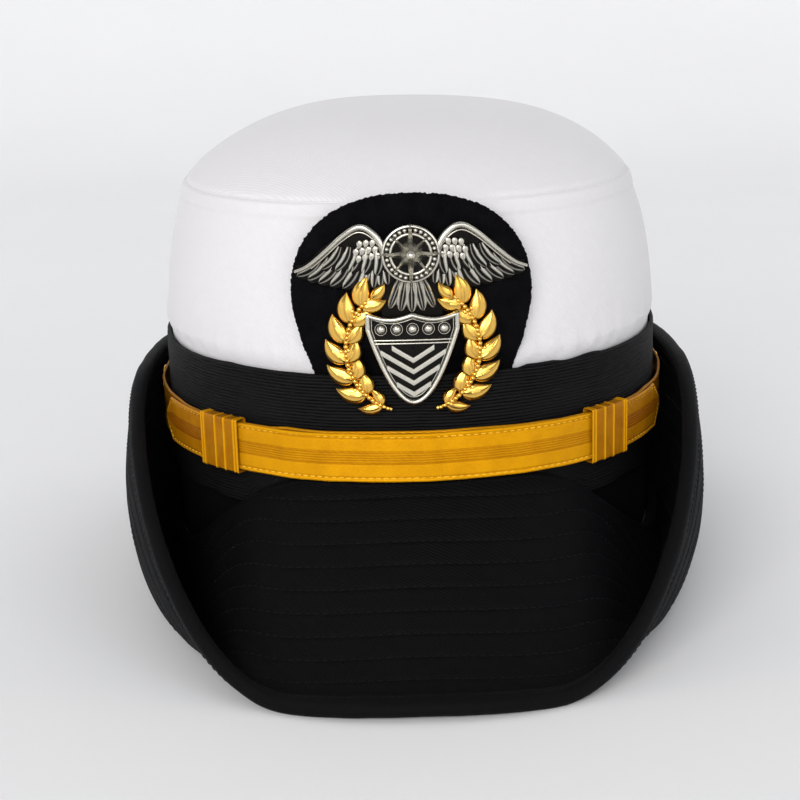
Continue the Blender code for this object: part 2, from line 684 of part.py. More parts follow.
def column_plate(name, columns, offset, wall, finish_material, parts=3):
    """A curved plate over the front, from (x, lowest z, highest z) columns.

    offset is a number, or a function of height for a plate that leans.
    """
    ahead = offset if callable(offset) else (lambda height: offset)
    sections = []
    for x, low, high in columns:
        heights = [mix(low, high, k / parts) for k in range(parts + 1)]
        back = [(x, front_y(x, ahead(z)), z) for z in heights]
        front = [(x, front_y(x, ahead(z) + wall), z) for z in reversed(heights)]
        sections.append(back + front)
    return loft(name, sections, finish_material)


def rounded_columns(half_width, count, reach):
    """X of the columns across a plate, closer together towards its rounded sides."""
    return [half_width * reach * math.sin(math.pi / 2 * k / count) for k in range(-count, count + 1)]


def tab_offset(height):
    return mix(TAB_LOW, TAB_HIGH, ramp(height, TAB_LEAN_START, TAB_LEAN_END))


def tab_columns(half_width, bottom, shrink):
    """Outline of the tab: a rounded top, and sides that draw in towards the band."""
    columns = []
    for x in rounded_columns(half_width, 9, 0.995):
        share = abs(x) / half_width
        high = TAB_WIDEST + (TAB_TOP - shrink - TAB_WIDEST) * (1 - share ** TAB_POWER) ** (1 / TAB_POWER)
        draw_in = (half_width - abs(x)) / TAB_DRAW_IN
        low = max(TAB_WIDEST - TAB_FALL * draw_in ** TAB_FALL_POWER, bottom)
        columns.append((x, low, high))
    return columns


def build_tab(felt, board):
    outline = tab_columns(TAB_HALF_WIDTH, TAB_BOTTOM, 0.0)
    tab = column_plate("badge_mount", outline, tab_offset, TAB_WALL, felt, parts=TAB_LEVELS)
    inner = tab_columns(TAB_HALF_WIDTH - STIFFENER_MARGIN, STIFFENER_BOTTOM, STIFFENER_MARGIN)
    behind = TAB_HIGH - GAP - STIFFENER_WALL
    stiffener = column_plate("badge_mount_stiffener", inner, behind, STIFFENER_WALL, board)
    return tab, stiffener


def shield_columns():
    """Heater shield: dished top edge, sides that curve in to the tip."""
    columns = []
    for x in rounded_columns(SHIELD_HALF_WIDTH, 7, 0.99):
        share = abs(x) / SHIELD_HALF_WIDTH
        low = SHIELD_TIP + (SHIELD_CORNER - SHIELD_TIP) * share ** SHIELD_SIDE_POWER
        high = SHIELD_TOP - SHIELD_DISH * math.sin(math.pi * share)
        columns.append((x, low, high))
    return columns


def wing_columns(side):
    ordered = WING_OUTLINE if side > 0 else reversed(WING_OUTLINE)
    return [(side * x * MM, low * MM, high * MM) for x, low, high in ordered]


def branch_offset(height):
    return mix(BRANCH_OFFSET_LOW, RELIEF_OFFSET, ramp(height, *BRANCH_LEAN))


def branch_wall(height):
    return mix(BRANCH_WALL_LOW, RELIEF_WALL, ramp(height, *BRANCH_LEAN))


def build_branch(name, side, gold):
    """A leafy branch that curves up beside the shield, as a tapering bar."""
    sections = []
    for k in range(BRANCH_STEPS + 1):
        part = k / BRANCH_STEPS
        turn = math.radians(mix(*BRANCH_TURN, part))
        x = BRANCH_CENTRE[0] + BRANCH_ARC[0] * math.cos(turn)
        z = BRANCH_CENTRE[1] + BRANCH_ARC[1] * math.sin(turn)
        half = BRANCH_HALF_TIP
        if 0 < k < BRANCH_STEPS:
            half = mix(BRANCH_HALF_END, BRANCH_HALF_MIDDLE, math.sin(math.pi * part) ** BRANCH_SWELL_POWER)
        out_x, out_z = half * math.cos(turn), half * math.sin(turn)
        near = (side * (x - out_x), z - out_z)
        far = (side * (x + out_x), z + out_z)
        back = [(px, front_y(px, branch_offset(pz)), pz) for px, pz in (near, far)]
        front = [(px, front_y(px, branch_offset(pz) + branch_wall(pz)), pz) for px, pz in (far, near)]
        sections.append(back + front)
    return loft(name, sections, gold)


def build_badge(silver, gold):
    column_plate("badge_shield", shield_columns(), SHIELD_OFFSET, SHIELD_WALL, silver)
    for side, word in ((1, "left"), (-1, "right")):
        column_plate("badge_wing_" + word, wing_columns(side), RELIEF_OFFSET, RELIEF_WALL, silver)
        build_branch("badge_branch_" + word, side, gold)
    boss_y = front_y(0.0, SHIELD_OFFSET)
    boss = [(BOSS_RADIUS * share, BOSS_RISE * rise) for share, rise in BOSS_DOME]
    turned("badge_boss", boss, (0.0, boss_y, BOSS_HEIGHT), (0.0, -1.0, 0.0), BOSS_SIDES, silver)
    star_y = boss_y - BOSS_RISE - GAP
    points = []
    for k in range(STAR_POINTS):
        radius = STAR_RADIUS * STAR_SHARES[k % len(STAR_SHARES)]
        turn = math.tau * k / STAR_POINTS
        points.append((radius * math.sin(turn), BOSS_HEIGHT + radius * math.cos(turn)))
    rims = [[(x, y, z) for x, z in points] for y in (star_y, star_y - STAR_WALL)]
    loft("badge_star", rims, silver, flat=True)


def build_badge_fixing(steel):
    """Backplate, threaded post, washer and nut behind the tab."""
    plate = [(x, BACKPLATE_BOTTOM, BACKPLATE_TOP) for x in BACKPLATE_COLUMNS]
    column_plate("badge_backplate", plate, BACKPLATE_OFFSET, BACKPLATE_WALL, steel)
    back = (0.0, 1.0, 0.0)
    post_y = front_y(0.0, BACKPLATE_OFFSET - GAP)
    post = [(POST_RADIUS, 0.0), (POST_RADIUS, POST_LENGTH)]
    turned("badge_post", post, (0.0, post_y, POST_HEIGHT), back, POST_SIDES, steel)
    washer_y = front_y(0.0, TAB_HIGH - GAP - STIFFENER_WALL - GAP)
    washer = ring_profile(POST_HOLE, WASHER_RADIUS, 0.0, WASHER_WALL)
    turned("badge_washer", washer, (0.0, washer_y, POST_HEIGHT), back, NUT_SIDES, steel, hollow=True)
    nut = ring_profile(POST_RADIUS + METAL_BORE_CLEAR, NUT_RADIUS, WASHER_WALL + GAP, NUT_WALL)
    turned("badge_nut", nut, (0.0, washer_y, POST_HEIGHT), back, NUT_SIDES, steel, hollow=True)


def post_cutter():
    centre = (0.0, front_y(0.0, TAB_HIGH), POST_HEIGHT)
    profile = [(POST_HOLE, -POST_LENGTH), (POST_HOLE, POST_LENGTH)]
    return turned("post_cutter", profile, centre, (0.0, 1.0, 0.0), POST_SIDES, None)


def main():
    clear_scene()
    white = material("white_cover", (0.82, 0.79, 0.79), 0.55)
    mohair = material("mohair_band", (0.035, 0.035, 0.037), 0.75)
    canvas = material("canvas", (0.55, 0.50, 0.42), 0.85)
    cloth = material("black_cloth", (0.03, 0.03, 0.034), 0.8)
    board = material("board", (0.35, 0.30, 0.22), 0.85)
    lining = material("lining_cloth", (0.06, 0.06, 0.07), 0.5)
    leather = material("sweatband_leather", (0.05, 0.035, 0.03), 0.45)
    felt = material("black_felt", (0.02, 0.02, 0.022), 0.95)
    lace = material("gold_lace", (0.83, 0.56, 0.08), 0.4, 0.6)
    brass = material("gilt_metal", (0.85, 0.62, 0.20), 0.3, 1.0)
    silver = material("silver_metal", (0.78, 0.78, 0.78), 0.3, 1.0)
    steel = material("plain_steel", (0.55, 0.55, 0.56), 0.35, 1.0)

    frame = build_crown_frame(board)
    build_crown_lining(lining)
    build_cover(white)
    band, backing = build_body_strips(mohair, canvas, cloth, leather, canvas)
    build_brim(board, cloth, cloth, steel, cloth)
    rear = build_straps(lace)
    for side, word in ((1, "left"), (-1, "right")):
        build_keeper("keeper_" + word, side, lace)
        build_button(side, word, brass)
        cutter = shank_cutter(side, word)
        for piece in (frame, band, backing, rear):
            cut(piece, cutter)
    tab, stiffener = build_tab(felt, board)
    cutter = post_cutter()
    for piece in (tab, stiffener):
        cut(piece, cutter)
    build_badge(silver, brass)
    build_badge_fixing(steel)


main()
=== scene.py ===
"""Looks of the uniform cap: cloth, lace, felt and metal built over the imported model.

Metres, +Z up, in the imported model's frame: the wearer faces -Y. Angles run round the head from
the front: 0 is the front, 90 the wearer's left side and 180 the back. A face is a grid of points
whose first direction runs round the cap and whose second runs up the wall or out to the rim.
"""
import json
import math

import bmesh
import bpy
import numpy as np
from mathutils import Euler, Matrix, Vector


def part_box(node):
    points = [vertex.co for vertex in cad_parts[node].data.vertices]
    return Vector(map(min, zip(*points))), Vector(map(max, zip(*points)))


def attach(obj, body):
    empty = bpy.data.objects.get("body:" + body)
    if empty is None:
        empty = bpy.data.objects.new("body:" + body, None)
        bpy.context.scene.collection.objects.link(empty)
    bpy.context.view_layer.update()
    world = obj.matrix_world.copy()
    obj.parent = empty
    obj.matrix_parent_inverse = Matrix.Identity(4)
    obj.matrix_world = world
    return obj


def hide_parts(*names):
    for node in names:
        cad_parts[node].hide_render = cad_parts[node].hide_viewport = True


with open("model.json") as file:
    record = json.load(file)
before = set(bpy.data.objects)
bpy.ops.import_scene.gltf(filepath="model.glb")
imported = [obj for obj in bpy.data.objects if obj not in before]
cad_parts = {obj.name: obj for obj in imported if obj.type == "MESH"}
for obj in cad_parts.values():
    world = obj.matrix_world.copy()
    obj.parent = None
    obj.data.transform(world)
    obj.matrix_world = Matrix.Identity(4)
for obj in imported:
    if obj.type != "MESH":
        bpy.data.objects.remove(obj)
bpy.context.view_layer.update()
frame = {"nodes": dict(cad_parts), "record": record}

MM = 0.001
TAU = math.tau

BODY_OF = {node: body for body, nodes in frame["record"]["behaviour"]["bodies"].items() for node in nodes}

# ---------------------------------------------------------------- forms shared with the CAD model
GAP = 0.3 * MM
LEATHER = 1.2 * MM
FRAME_WALL = 1.4 * MM
CLOTH = 0.8 * MM
TAB_SLOT = 2.2 * MM
HEAD_POWER = 2.2
SWEATBAND_LOW, SWEATBAND_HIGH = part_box("sweatband")
HEAD_HALF_WIDTH = SWEATBAND_HIGH.x - LEATHER
HEAD_HALF_LENGTH = (SWEATBAND_HIGH.y - SWEATBAND_LOW.y) / 2 - LEATHER
HEAD_Y = (SWEATBAND_HIGH.y + SWEATBAND_LOW.y) / 2

FRAME_IN = LEATHER + GAP
COVER_IN = FRAME_IN + FRAME_WALL + GAP
COVER_OUT = COVER_IN + CLOTH
BAND_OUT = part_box("mohair_band")[1].x - HEAD_HALF_WIDTH
STRAP_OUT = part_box("chin_strap_rear")[1].x - HEAD_HALF_WIDTH

BAND_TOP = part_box("mohair_band")[1].z
SKIRT_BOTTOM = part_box("cover_side")[0].z
SEAM_HEIGHT = 137.5 * MM
DOME_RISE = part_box("cover_tip")[1].z - SEAM_HEIGHT
DOME_POWER, DOME_FULLNESS = 3.0, 0.87
PUFF_START, PUFF_END = 86.8 * MM, 92.0 * MM
PUFF, PUFF_FRONT = 1.4 * MM, 0.4 * MM
TAPER_START, TAPER_POWER = 90.0 * MM, 1.9
TAPER_SIDE, TAPER_FRONT, TAPER_BACK = 8.8 * MM, 3.0 * MM, 10.0 * MM

JUNCTION_HALF_WIDTH, JUNCTION_REACH = 87.0 * MM, 104.0 * MM
JUNCTION_FRONT, JUNCTION_SIDE, JUNCTION_BACK = 52.2 * MM, 18.0 * MM, 14.0 * MM
RIM_HALF_WIDTH, RIM_FRONT, RIM_BACK, RIM_POWER = 93.5 * MM, 159.0 * MM, 119.0 * MM, 2.65
RIM_HEIGHT_FRONT, RIM_HEIGHT_SIDE, RIM_HEIGHT_BACK = 2.47 * MM, 73.0 * MM, 64.0 * MM
FAN_OUT = 30.0 * MM
# Slope at the junction, pull there, slope at the rim, pull there: degrees and millimetres.
BRIM_FRONT = (-48.0, 54.0, -20.0, 11.0)
BRIM_SIDE = (-95.0, 38.0, 110.0, 49.0)
BRIM_BACK = (-85.0, 43.0, 85.0, 30.0)
FOLD_REST = 1.55 * MM
CORE_HALF = 0.55 * MM
CORE_SETBACK, WIRE_SETBACK = 2.9 * MM, 1.6 * MM
COVER_WALL = 0.7 * MM
BRIM_FACE = CORE_HALF + GAP + COVER_WALL
BINDING_WALL, BINDING_WIDTH = 0.6 * MM, 5.0 * MM
BINDING_FACE = BRIM_FACE + GAP + BINDING_WALL
EDGE_DROP = 1.5 * MM

STRAP_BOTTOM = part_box("chin_strap_front")[0].z
STRAP_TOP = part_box("chin_strap_front")[1].z
STRAP_MIDDLE = (STRAP_TOP + STRAP_BOTTOM) / 2
STRAP_HALF = (STRAP_TOP - STRAP_BOTTOM) / 2
STRAP_IN = STRAP_OUT - 1.0 * MM
STRAP_FACE = STRAP_IN + 2.3 * MM
STRAP_POINT_ANGLE, STRAP_TIP_ANGLE = 61.0, 66.0
KEEPER_NEAR, KEEPER_FAR = 36.2, 46.6

TAB_LOW, TAB_HIGH = 4.4 * MM, 8.2 * MM
TAB_LEAN = (88.5 * MM, 97.0 * MM)
TAB_WALL = 0.9 * MM
TAB_TIGHTER = 1.2 * MM
TAB_HALF_WIDTH, TAB_WIDEST, TAB_POWER = 36.3 * MM, 109.7 * MM, 2.3
TAB_TOP, TAB_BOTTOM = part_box("badge_mount")[1].z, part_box("badge_mount")[0].z
TAB_DRAW_IN, TAB_FALL, TAB_FALL_POWER = 5.8 * MM, 23.0 * MM, 0.75


def ramp(value, start, end):
    part = np.clip((value - start) / (end - start), 0.0, 1.0)
    return part * part * (3 - 2 * part)


def bell(value, middle, width):
    return np.exp(-((value - middle) / width) ** 2)


def mix(start, end, part):
    return start + (end - start) * part


def length(vectors):
    return np.linalg.norm(vectors, axis=-1, keepdims=True)


def unit(vectors):
    return vectors / np.maximum(length(vectors), 1e-12)


def stack(x, y, z):
    return np.stack(np.broadcast_arrays(x, y, z), -1)


def running(steps):
    """Running sum of steps along the last direction, from 0."""
    return np.concatenate([np.zeros_like(steps[..., :1]), np.cumsum(steps, axis=-1)], axis=-1)


def oval(angle, half_width, front, back, power=HEAD_POWER):
    side, ahead = np.sin(angle), np.cos(angle)
    reach = np.where(ahead > 0, front, back)
    size = (abs(side) ** power + abs(ahead) ** power) ** (-1 / power)
    return half_width * side * size, HEAD_Y - reach * ahead * size


def off_front(angle):
    """Degrees from the front, to either side."""
    return abs((np.degrees(angle) + 180.0) % 360.0 - 180.0)


def head_face(angle, height, offset, front_extra=0.0):
    """Points that far outside the head oval."""
    x, y = oval(angle, HEAD_HALF_WIDTH + offset, HEAD_HALF_LENGTH + offset + front_extra,
                HEAD_HALF_LENGTH + offset)
    return stack(x, y, height)


def away_from_head(line):
    return unit((line - (0, HEAD_Y, 0)) * (1, 1, 0))


def crown_face(angle, height, inset=0.0):
    """Points of the crown's wall, inset from the cover's outer face."""
    taper = np.maximum((height - TAPER_START) / (SEAM_HEIGHT - TAPER_START), 0.0) ** TAPER_POWER
    puff = ramp(height, PUFF_START, PUFF_END)
    offset = COVER_OUT - inset
    half_width = HEAD_HALF_WIDTH + offset + PUFF * puff - TAPER_SIDE * taper
    front = HEAD_HALF_LENGTH + offset + PUFF_FRONT * puff - TAPER_FRONT * taper
    back = HEAD_HALF_LENGTH + offset + PUFF * puff - TAPER_BACK * taper
    x, y = oval(angle, half_width, front, back)
    return stack(x, y, height)


def dome_face(angle, reach, inset=0.0):
    """Points of the domed top: reach is 1 at the seam and 0 at the top."""
    seam = crown_face(angle, SEAM_HEIGHT, inset)
    rise = DOME_RISE * (1 - reach ** DOME_POWER) ** DOME_FULLNESS
    return stack(seam[..., 0] * reach, HEAD_Y + (seam[..., 1] - HEAD_Y) * reach,
                 SEAM_HEIGHT + rise - inset)


def junction_height(angle):
    degrees = off_front(angle)
    height = mix(JUNCTION_FRONT, JUNCTION_SIDE, ramp(degrees, 21, 65))
    return mix(height, JUNCTION_BACK, ramp(degrees, 90, 180))


def lower_edge(angle):
    return junction_height(angle) - EDGE_DROP


def band_bottom(angle):
    return np.maximum(junction_height(angle) + 1.2 * MM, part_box("mohair_band")[0].z)


def brim_mid(angle, along):
    """Middle surface of the brim: along is 0 at the junction and 1 at the rim."""
    degrees = off_front(angle)
    x, y = oval(angle, JUNCTION_HALF_WIDTH, JUNCTION_REACH, JUNCTION_REACH)
    start = stack(x, y, junction_height(angle))
    x, y = oval(angle, RIM_HALF_WIDTH, RIM_FRONT, RIM_BACK, RIM_POWER)
    height = mix(RIM_HEIGHT_FRONT, RIM_HEIGHT_SIDE, ramp(degrees, 23, 81))
    end = stack(x, y, mix(height, RIM_HEIGHT_BACK, ramp(degrees, 80, 180)))
    side, ahead = np.sin(angle), np.cos(angle)
    square = stack(np.copysign(abs(side) ** (HEAD_POWER - 1), side) / JUNCTION_HALF_WIDTH,
                   -np.copysign(abs(ahead) ** (HEAD_POWER - 1), ahead) / JUNCTION_REACH, 0.0)
    outward = (end - start) * (1, 1, 0) + FAN_OUT * square / length(square)
    outward = outward / length(outward)
    shares = [ramp(degrees, 28, 70)] * 2 + [ramp(degrees, 0, 68), ramp(degrees, 28, 70)]
    behind = ramp(degrees, 90, 180)
    values = zip(BRIM_FRONT, BRIM_SIDE, BRIM_BACK, shares)
    slope_in, pull_in, slope_out, pull_out = [
        mix(mix(front, beside, share), back, behind)[..., None] for front, beside, back, share in values]
    slope_in, slope_out = np.radians(slope_in), np.radians(slope_out)
    up = np.array((0.0, 0.0, 1.0))
    second = start + pull_in * MM * (outward * np.cos(slope_in) + up * np.sin(slope_in))
    third = end - pull_out * MM * (outward * np.cos(slope_out) + up * np.sin(slope_out))
    t = np.asarray(along)[..., None]
    point = (1 - t) ** 3 * start + 3 * t * (1 - t) ** 2 * second + 3 * t ** 2 * (1 - t) * third
    point = point + t ** 3 * end
    point[..., 2] = np.maximum(point[..., 2], FOLD_REST)
    return point


def brim_reach(angle):
    """Shares along the section, and the arc length from the junction to each of them."""
    shares = np.linspace(0, 1, 161)
    return shares, running(length(np.diff(brim_mid(angle, shares[None, :]), axis=1))[..., 0])


def brim_length(angle):
    return brim_reach(angle)[1][:, -1:]


def brim_frames(angle, from_rim):
    """Middle surface, direction to the rim and upper normal, at distances inside the rim.

    angle is (n, 1); from_rim is (n, m) or (1, m) in metres.
    """
    shares, reached = brim_reach(angle)
    along = np.stack([np.interp(t, r, shares) for t, r in zip(reached[:, -1:] - from_rim, reached)])
    step = 0.004
    low, high = np.maximum(along - step, 0.0), np.minimum(along + step, 1.0)
    outward = unit(brim_mid(angle, high) - brim_mid(angle, low))
    around = brim_mid(angle + step, along) - brim_mid(angle - step, along)
    return brim_mid(angle, along), outward, unit(np.cross(outward, around))


def front_face(x, z, ahead):
    """Points over the front of the cap, that far ahead of the head oval."""
    half_width = HEAD_HALF_WIDTH + ahead - TAB_TIGHTER
    share = 1 - (abs(x) / half_width) ** HEAD_POWER
    return stack(x, HEAD_Y - (HEAD_HALF_LENGTH + ahead) * share ** (1 / HEAD_POWER), z)


def tab_offset(z):
    return mix(TAB_LOW, TAB_HIGH, ramp(z, *TAB_LEAN))


# ---------------------------------------------------------------------------------- mesh building
def turns(count):
    """Angles at equal steps round a circle."""
    return TAU * np.arange(count) / count


ROUND = turns(384)[:, None]


def normals(points, closed=True):
    """Square to both directions of a grid: outward where it runs round the cap and up."""
    along = np.gradient(points, axis=1)
    around = np.gradient(points, axis=0)
    if closed:
        around = np.roll(points, -1, axis=0) - np.roll(points, 1, axis=0)
    return unit(np.cross(around, along))


def raised(face, height):
    """A face moved out along its normals."""
    return face + normals(face) * height[..., None]


def shelled(face, wall, side=1.0, skip=1, closed=True, rounded=True):
    """Closed profile loops: a face, and the same face set back by the wall, with round edges.

    Also gives the face column that each profile column belongs to. The back keeps every skip-th.
    """
    normal = normals(face, closed) * side
    along = unit(np.gradient(face, axis=1))
    last = face.shape[1] - 1
    columns = list(range(last, 0, -skip)) + [0]
    turn = math.pi * np.array((0.25, 0.5, 0.75) if rounded else ())[:, None]

    def edge(column, sign):
        out, on = normal[:, column, None], sign * along[:, column, None]
        return face[:, column, None] + wall / 2 * (out * (np.cos(turn) - 1) + on * np.sin(turn))

    loops = [face, edge(last, 1), (face - normal * wall)[:, columns], edge(0, -1)[:, ::-1]]
    index = list(range(last + 1)) + [last] * len(turn) + columns + [0] * len(turn)
    return np.concatenate(loops, axis=1), index


def wrapped(grid, rows=True, columns=True):
    """A grid with its first row and its first column once more at the end."""
    grid = np.concatenate([grid, grid[:1]]) if rows else grid
    return np.concatenate([grid, grid[:, :1]], axis=1) if columns else grid


def spread(points, closed_u, closed_v):
    """Arc lengths along both directions of a grid, with one more row or column where it closes."""
    points = wrapped(points, closed_u, closed_v)
    u = running(length(np.diff(points, axis=0))[..., 0].max(axis=1))
    v = running(length(np.diff(points, axis=1))[..., 0].mean(axis=0))
    return np.stack(np.meshgrid(u, v, indexing="ij"), -1)


class Pile:
    """Collects grids of points into one mesh, with cloth coordinates and a tone at each point."""

    def __init__(self):
        self.points, self.tones, self.faces, self.sizes, self.uvs = [], [], [], [], []
        self.count = 0

    def grids(self, batch, closed_u=False, closed_v=True, uv=None, tone=0.0):
        """Adds a batch of equal grids, (k, n, m, 3). A grid that is open round the cap gets end faces.

        The tone is one value, or values that spread over the points.
        """
        k, n, m = batch.shape[:3]
        i, j = np.meshgrid(np.arange(n if closed_u else n - 1), np.arange(m if closed_v else m - 1),
                           indexing="ij")
        corners = ((i, j), (i + 1, j), (i + 1, j + 1), (i, j + 1))
        quads = np.stack([(a % n) * m + b % m for a, b in corners], -1).reshape(-1, 4)
        starts = self.count + np.arange(k) * n * m
        if uv is None:
            uv = spread(batch[0], closed_u, closed_v)
        face_uv = np.stack([uv[a, b] for a, b in corners], -2).reshape(-1, 2)
        self.faces.append((starts[:, None, None] + quads).ravel())
        self.sizes += [4] * (k * len(quads))
        self.uvs.append(np.tile(face_uv, (k, 1)))
        if not closed_u:
            for row in (0, n - 1):
                self.faces.append((starts[:, None] + row * m + np.arange(m)).ravel())
                self.sizes += [m] * k
                self.uvs.append(np.tile(uv[min(row, len(uv) - 1), :m].reshape(-1, 2), (k, 1)))
        self.points.append(batch.reshape(-1, 3))
        self.tones.append(np.broadcast_to(tone, (k, n, m)).ravel())
        self.count += k * n * m
        return self

    def grid(self, points, **settings):
        return self.grids(points[None], **settings)

    def mirror(self):
        self.points = [points * (-1, 1, 1) for points in self.points]

    def build(self, name, finish):
        mesh = bpy.data.meshes.new(name)
        points = np.concatenate(self.points).astype(np.float32)
        corners = np.concatenate(self.faces).astype(np.int32)
        sizes = np.array(self.sizes, np.int32)
        mesh.vertices.add(len(points))
        mesh.vertices.foreach_set("co", points.ravel())
        mesh.loops.add(len(corners))
        mesh.loops.foreach_set("vertex_index", corners)
        mesh.polygons.add(len(sizes))
        mesh.polygons.foreach_set("loop_start", np.concatenate([[0], np.cumsum(sizes)[:-1]]).astype(np.int32))
        mesh.update(calc_edges=True)
        layer = mesh.uv_layers.new(name="cloth")
        layer.data.foreach_set("uv", np.concatenate(self.uvs).astype(np.float32).ravel())
        tone = mesh.attributes.new("tone", "FLOAT", "POINT")
        tone.data.foreach_set("value", np.concatenate(self.tones).astype(np.float32))
        mesh.validate()
        work = bmesh.new()
        work.from_mesh(mesh)
        bmesh.ops.recalc_face_normals(work, faces=work.faces)
        work.to_mesh(mesh)
        work.free()
        mesh.shade_smooth()
        mesh.set_sharp_from_angle(angle=math.radians(50))
        mesh.materials.append(finish)
        made = bpy.data.objects.new(name, mesh)
        bpy.context.scene.collection.objects.link(made)
        return made


def piece(name, pile, finish, *nodes, like=None):
    """Makes a pile into a piece that stands for the nodes, or that is sewn to the node it is like."""
    made = pile.build(name, finish)
    near = like or nodes[0]
    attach(made, BODY_OF[near])
    if nodes:
        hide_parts(*nodes)


def shell_piece(name, face, wall, finish, node, tone=None, **settings):
    """A piece that is one thick sheet round the cap. The face's tone is carried to its back."""
    loops, index = shelled(face, wall, **settings)
    piece(name, Pile().grid(loops, closed_u=True, tone=0.0 if tone is None else tone[:, index]), finish, node)


def both_sides(name, pile, finish, node):
    """The piece on the wearer's left, and its mirror image on the right."""
    piece(name + "_left", pile, finish, node + "_left")
    pile.mirror()
    piece(name + "_right", pile, finish, node + "_right")


def wobble(u, v, size, seed, count=7):
    """A smooth irregular field of about unit height, from waves of about that length."""
    rng = np.random.default_rng(seed)
    total = 0.0
    for turn, phase, stretch in zip(rng.uniform(0, TAU, count), rng.uniform(0, TAU, count),
                                    rng.uniform(0.6, 1.7, count)):
        total = total + np.sin(TAU * (u * math.cos(turn) + v * math.sin(turn)) / (size * stretch) + phase)
    return total / math.sqrt(count)


def distances(line):
    """Distance from a line's start to each of its points."""
    return running(length(np.diff(line, axis=0))[:, 0])


def resampled(line, count, endpoint=True):
    """The same line with points at equal steps."""
    reached = distances(line)
    wanted = np.linspace(0, reached[-1], count, endpoint=endpoint)
    return np.stack([np.interp(wanted, reached, line[:, k]) for k in range(line.shape[1])], -1)


def smooth_path(points, count):
    """A smooth curve through a few points, at equal steps."""
    points = np.array(points, float)
    ends = np.concatenate([[2 * points[0] - points[1]], points, [2 * points[-1] - points[-2]]])
    t = np.linspace(0, 1, 24, endpoint=False)[:, None]
    rows = []
    for k in range(len(points) - 1):
        a, b, c, d = ends[k:k + 4]
        rows.append(0.5 * (2 * b + (c - a) * t + (2 * a - 5 * b + 4 * c - d) * t ** 2
                           + (3 * b - a - 3 * c + d) * t ** 3))
    return resampled(np.concatenate(rows + [points[-1:]]), count)


def sweep(pile, line, normal, radius, sides=8, closed=False, tone=0.0):
    """A cord along a line of points. Its radius may change along it."""
    tangent = np.roll(line, -1, 0) - np.roll(line, 1, 0) if closed else np.gradient(line, axis=0)
    tangent = unit(tangent)
    across = unit(np.cross(tangent, normal))
    normal = np.cross(across, tangent)
    turn = turns(sides)[:, None]
    radius = np.broadcast_to(radius, len(line))[:, None, None]
    ring = across[:, None] * np.cos(turn) + normal[:, None] * np.sin(turn)
    return pile.grid(line[:, None] + radius * ring, closed_u=closed, tone=tone)


def stitches(pile, line, normal, pitch, radius, fill=0.66, closed=True, tone=0.0):
    """A row of separate thread stitches along a line of points, each sunk at both ends."""
    normal = np.broadcast_to(normal, line.shape)
    if closed:
        line, normal = np.concatenate([line, line[:1]]), np.concatenate([normal, normal[:1]])
    reached = distances(line)
    count = max(int(reached[-1] / pitch), 1)
    share = np.linspace(0, 1, 6)
    where = (np.arange(count)[:, None] + 0.5 + fill * (share - 0.5)) * reached[-1] / count

    def read(values):
        return np.stack([np.interp(where, reached, values[:, k]) for k in range(3)], -1)

    middle, up = read(line), unit(read(normal))
    tangent = unit(np.gradient(middle, axis=1))
    across = unit(np.cross(tangent, up))
    size = radius * np.sqrt(1 - (1.92 * share - 0.96) ** 4)
    middle = middle + up * (size * 0.7 - radius * 0.55)[None, :, None]
    turn = turns(6)[:, None]
    ring = across[:, :, None] * np.cos(turn) + up[:, :, None] * np.sin(turn)
    pile.grids(middle[:, :, None] + size[None, :, None, None] * ring, tone=tone)


def turned(pile, rows, centre, axis, sides, ripple=None):
    """Spins rows of (radius, height, tone) about an axis; ripple changes the height by angle."""
    axis = np.array(axis, float)
    first = np.array((0.0, 0.0, 1.0))
    second = np.cross(axis, first)
    turn = turns(sides)[:, None, None]
    rows = np.array(rows, float)
    radius, height = rows[None, :, :1], rows[None, :, 1:2] + 0 * turn
    if ripple is not None:
        height = height + ripple(turn, radius)
    out = first * np.cos(turn) + second * np.sin(turn)
    points = np.array(centre) + out * radius + axis * height
    return pile.grid(np.swapaxes(points, 0, 1), tone=rows[:, 2:])


# --------------------------------------------------------------------------------------- materials
def rgb(*colour):
    return (*colour, 1.0)


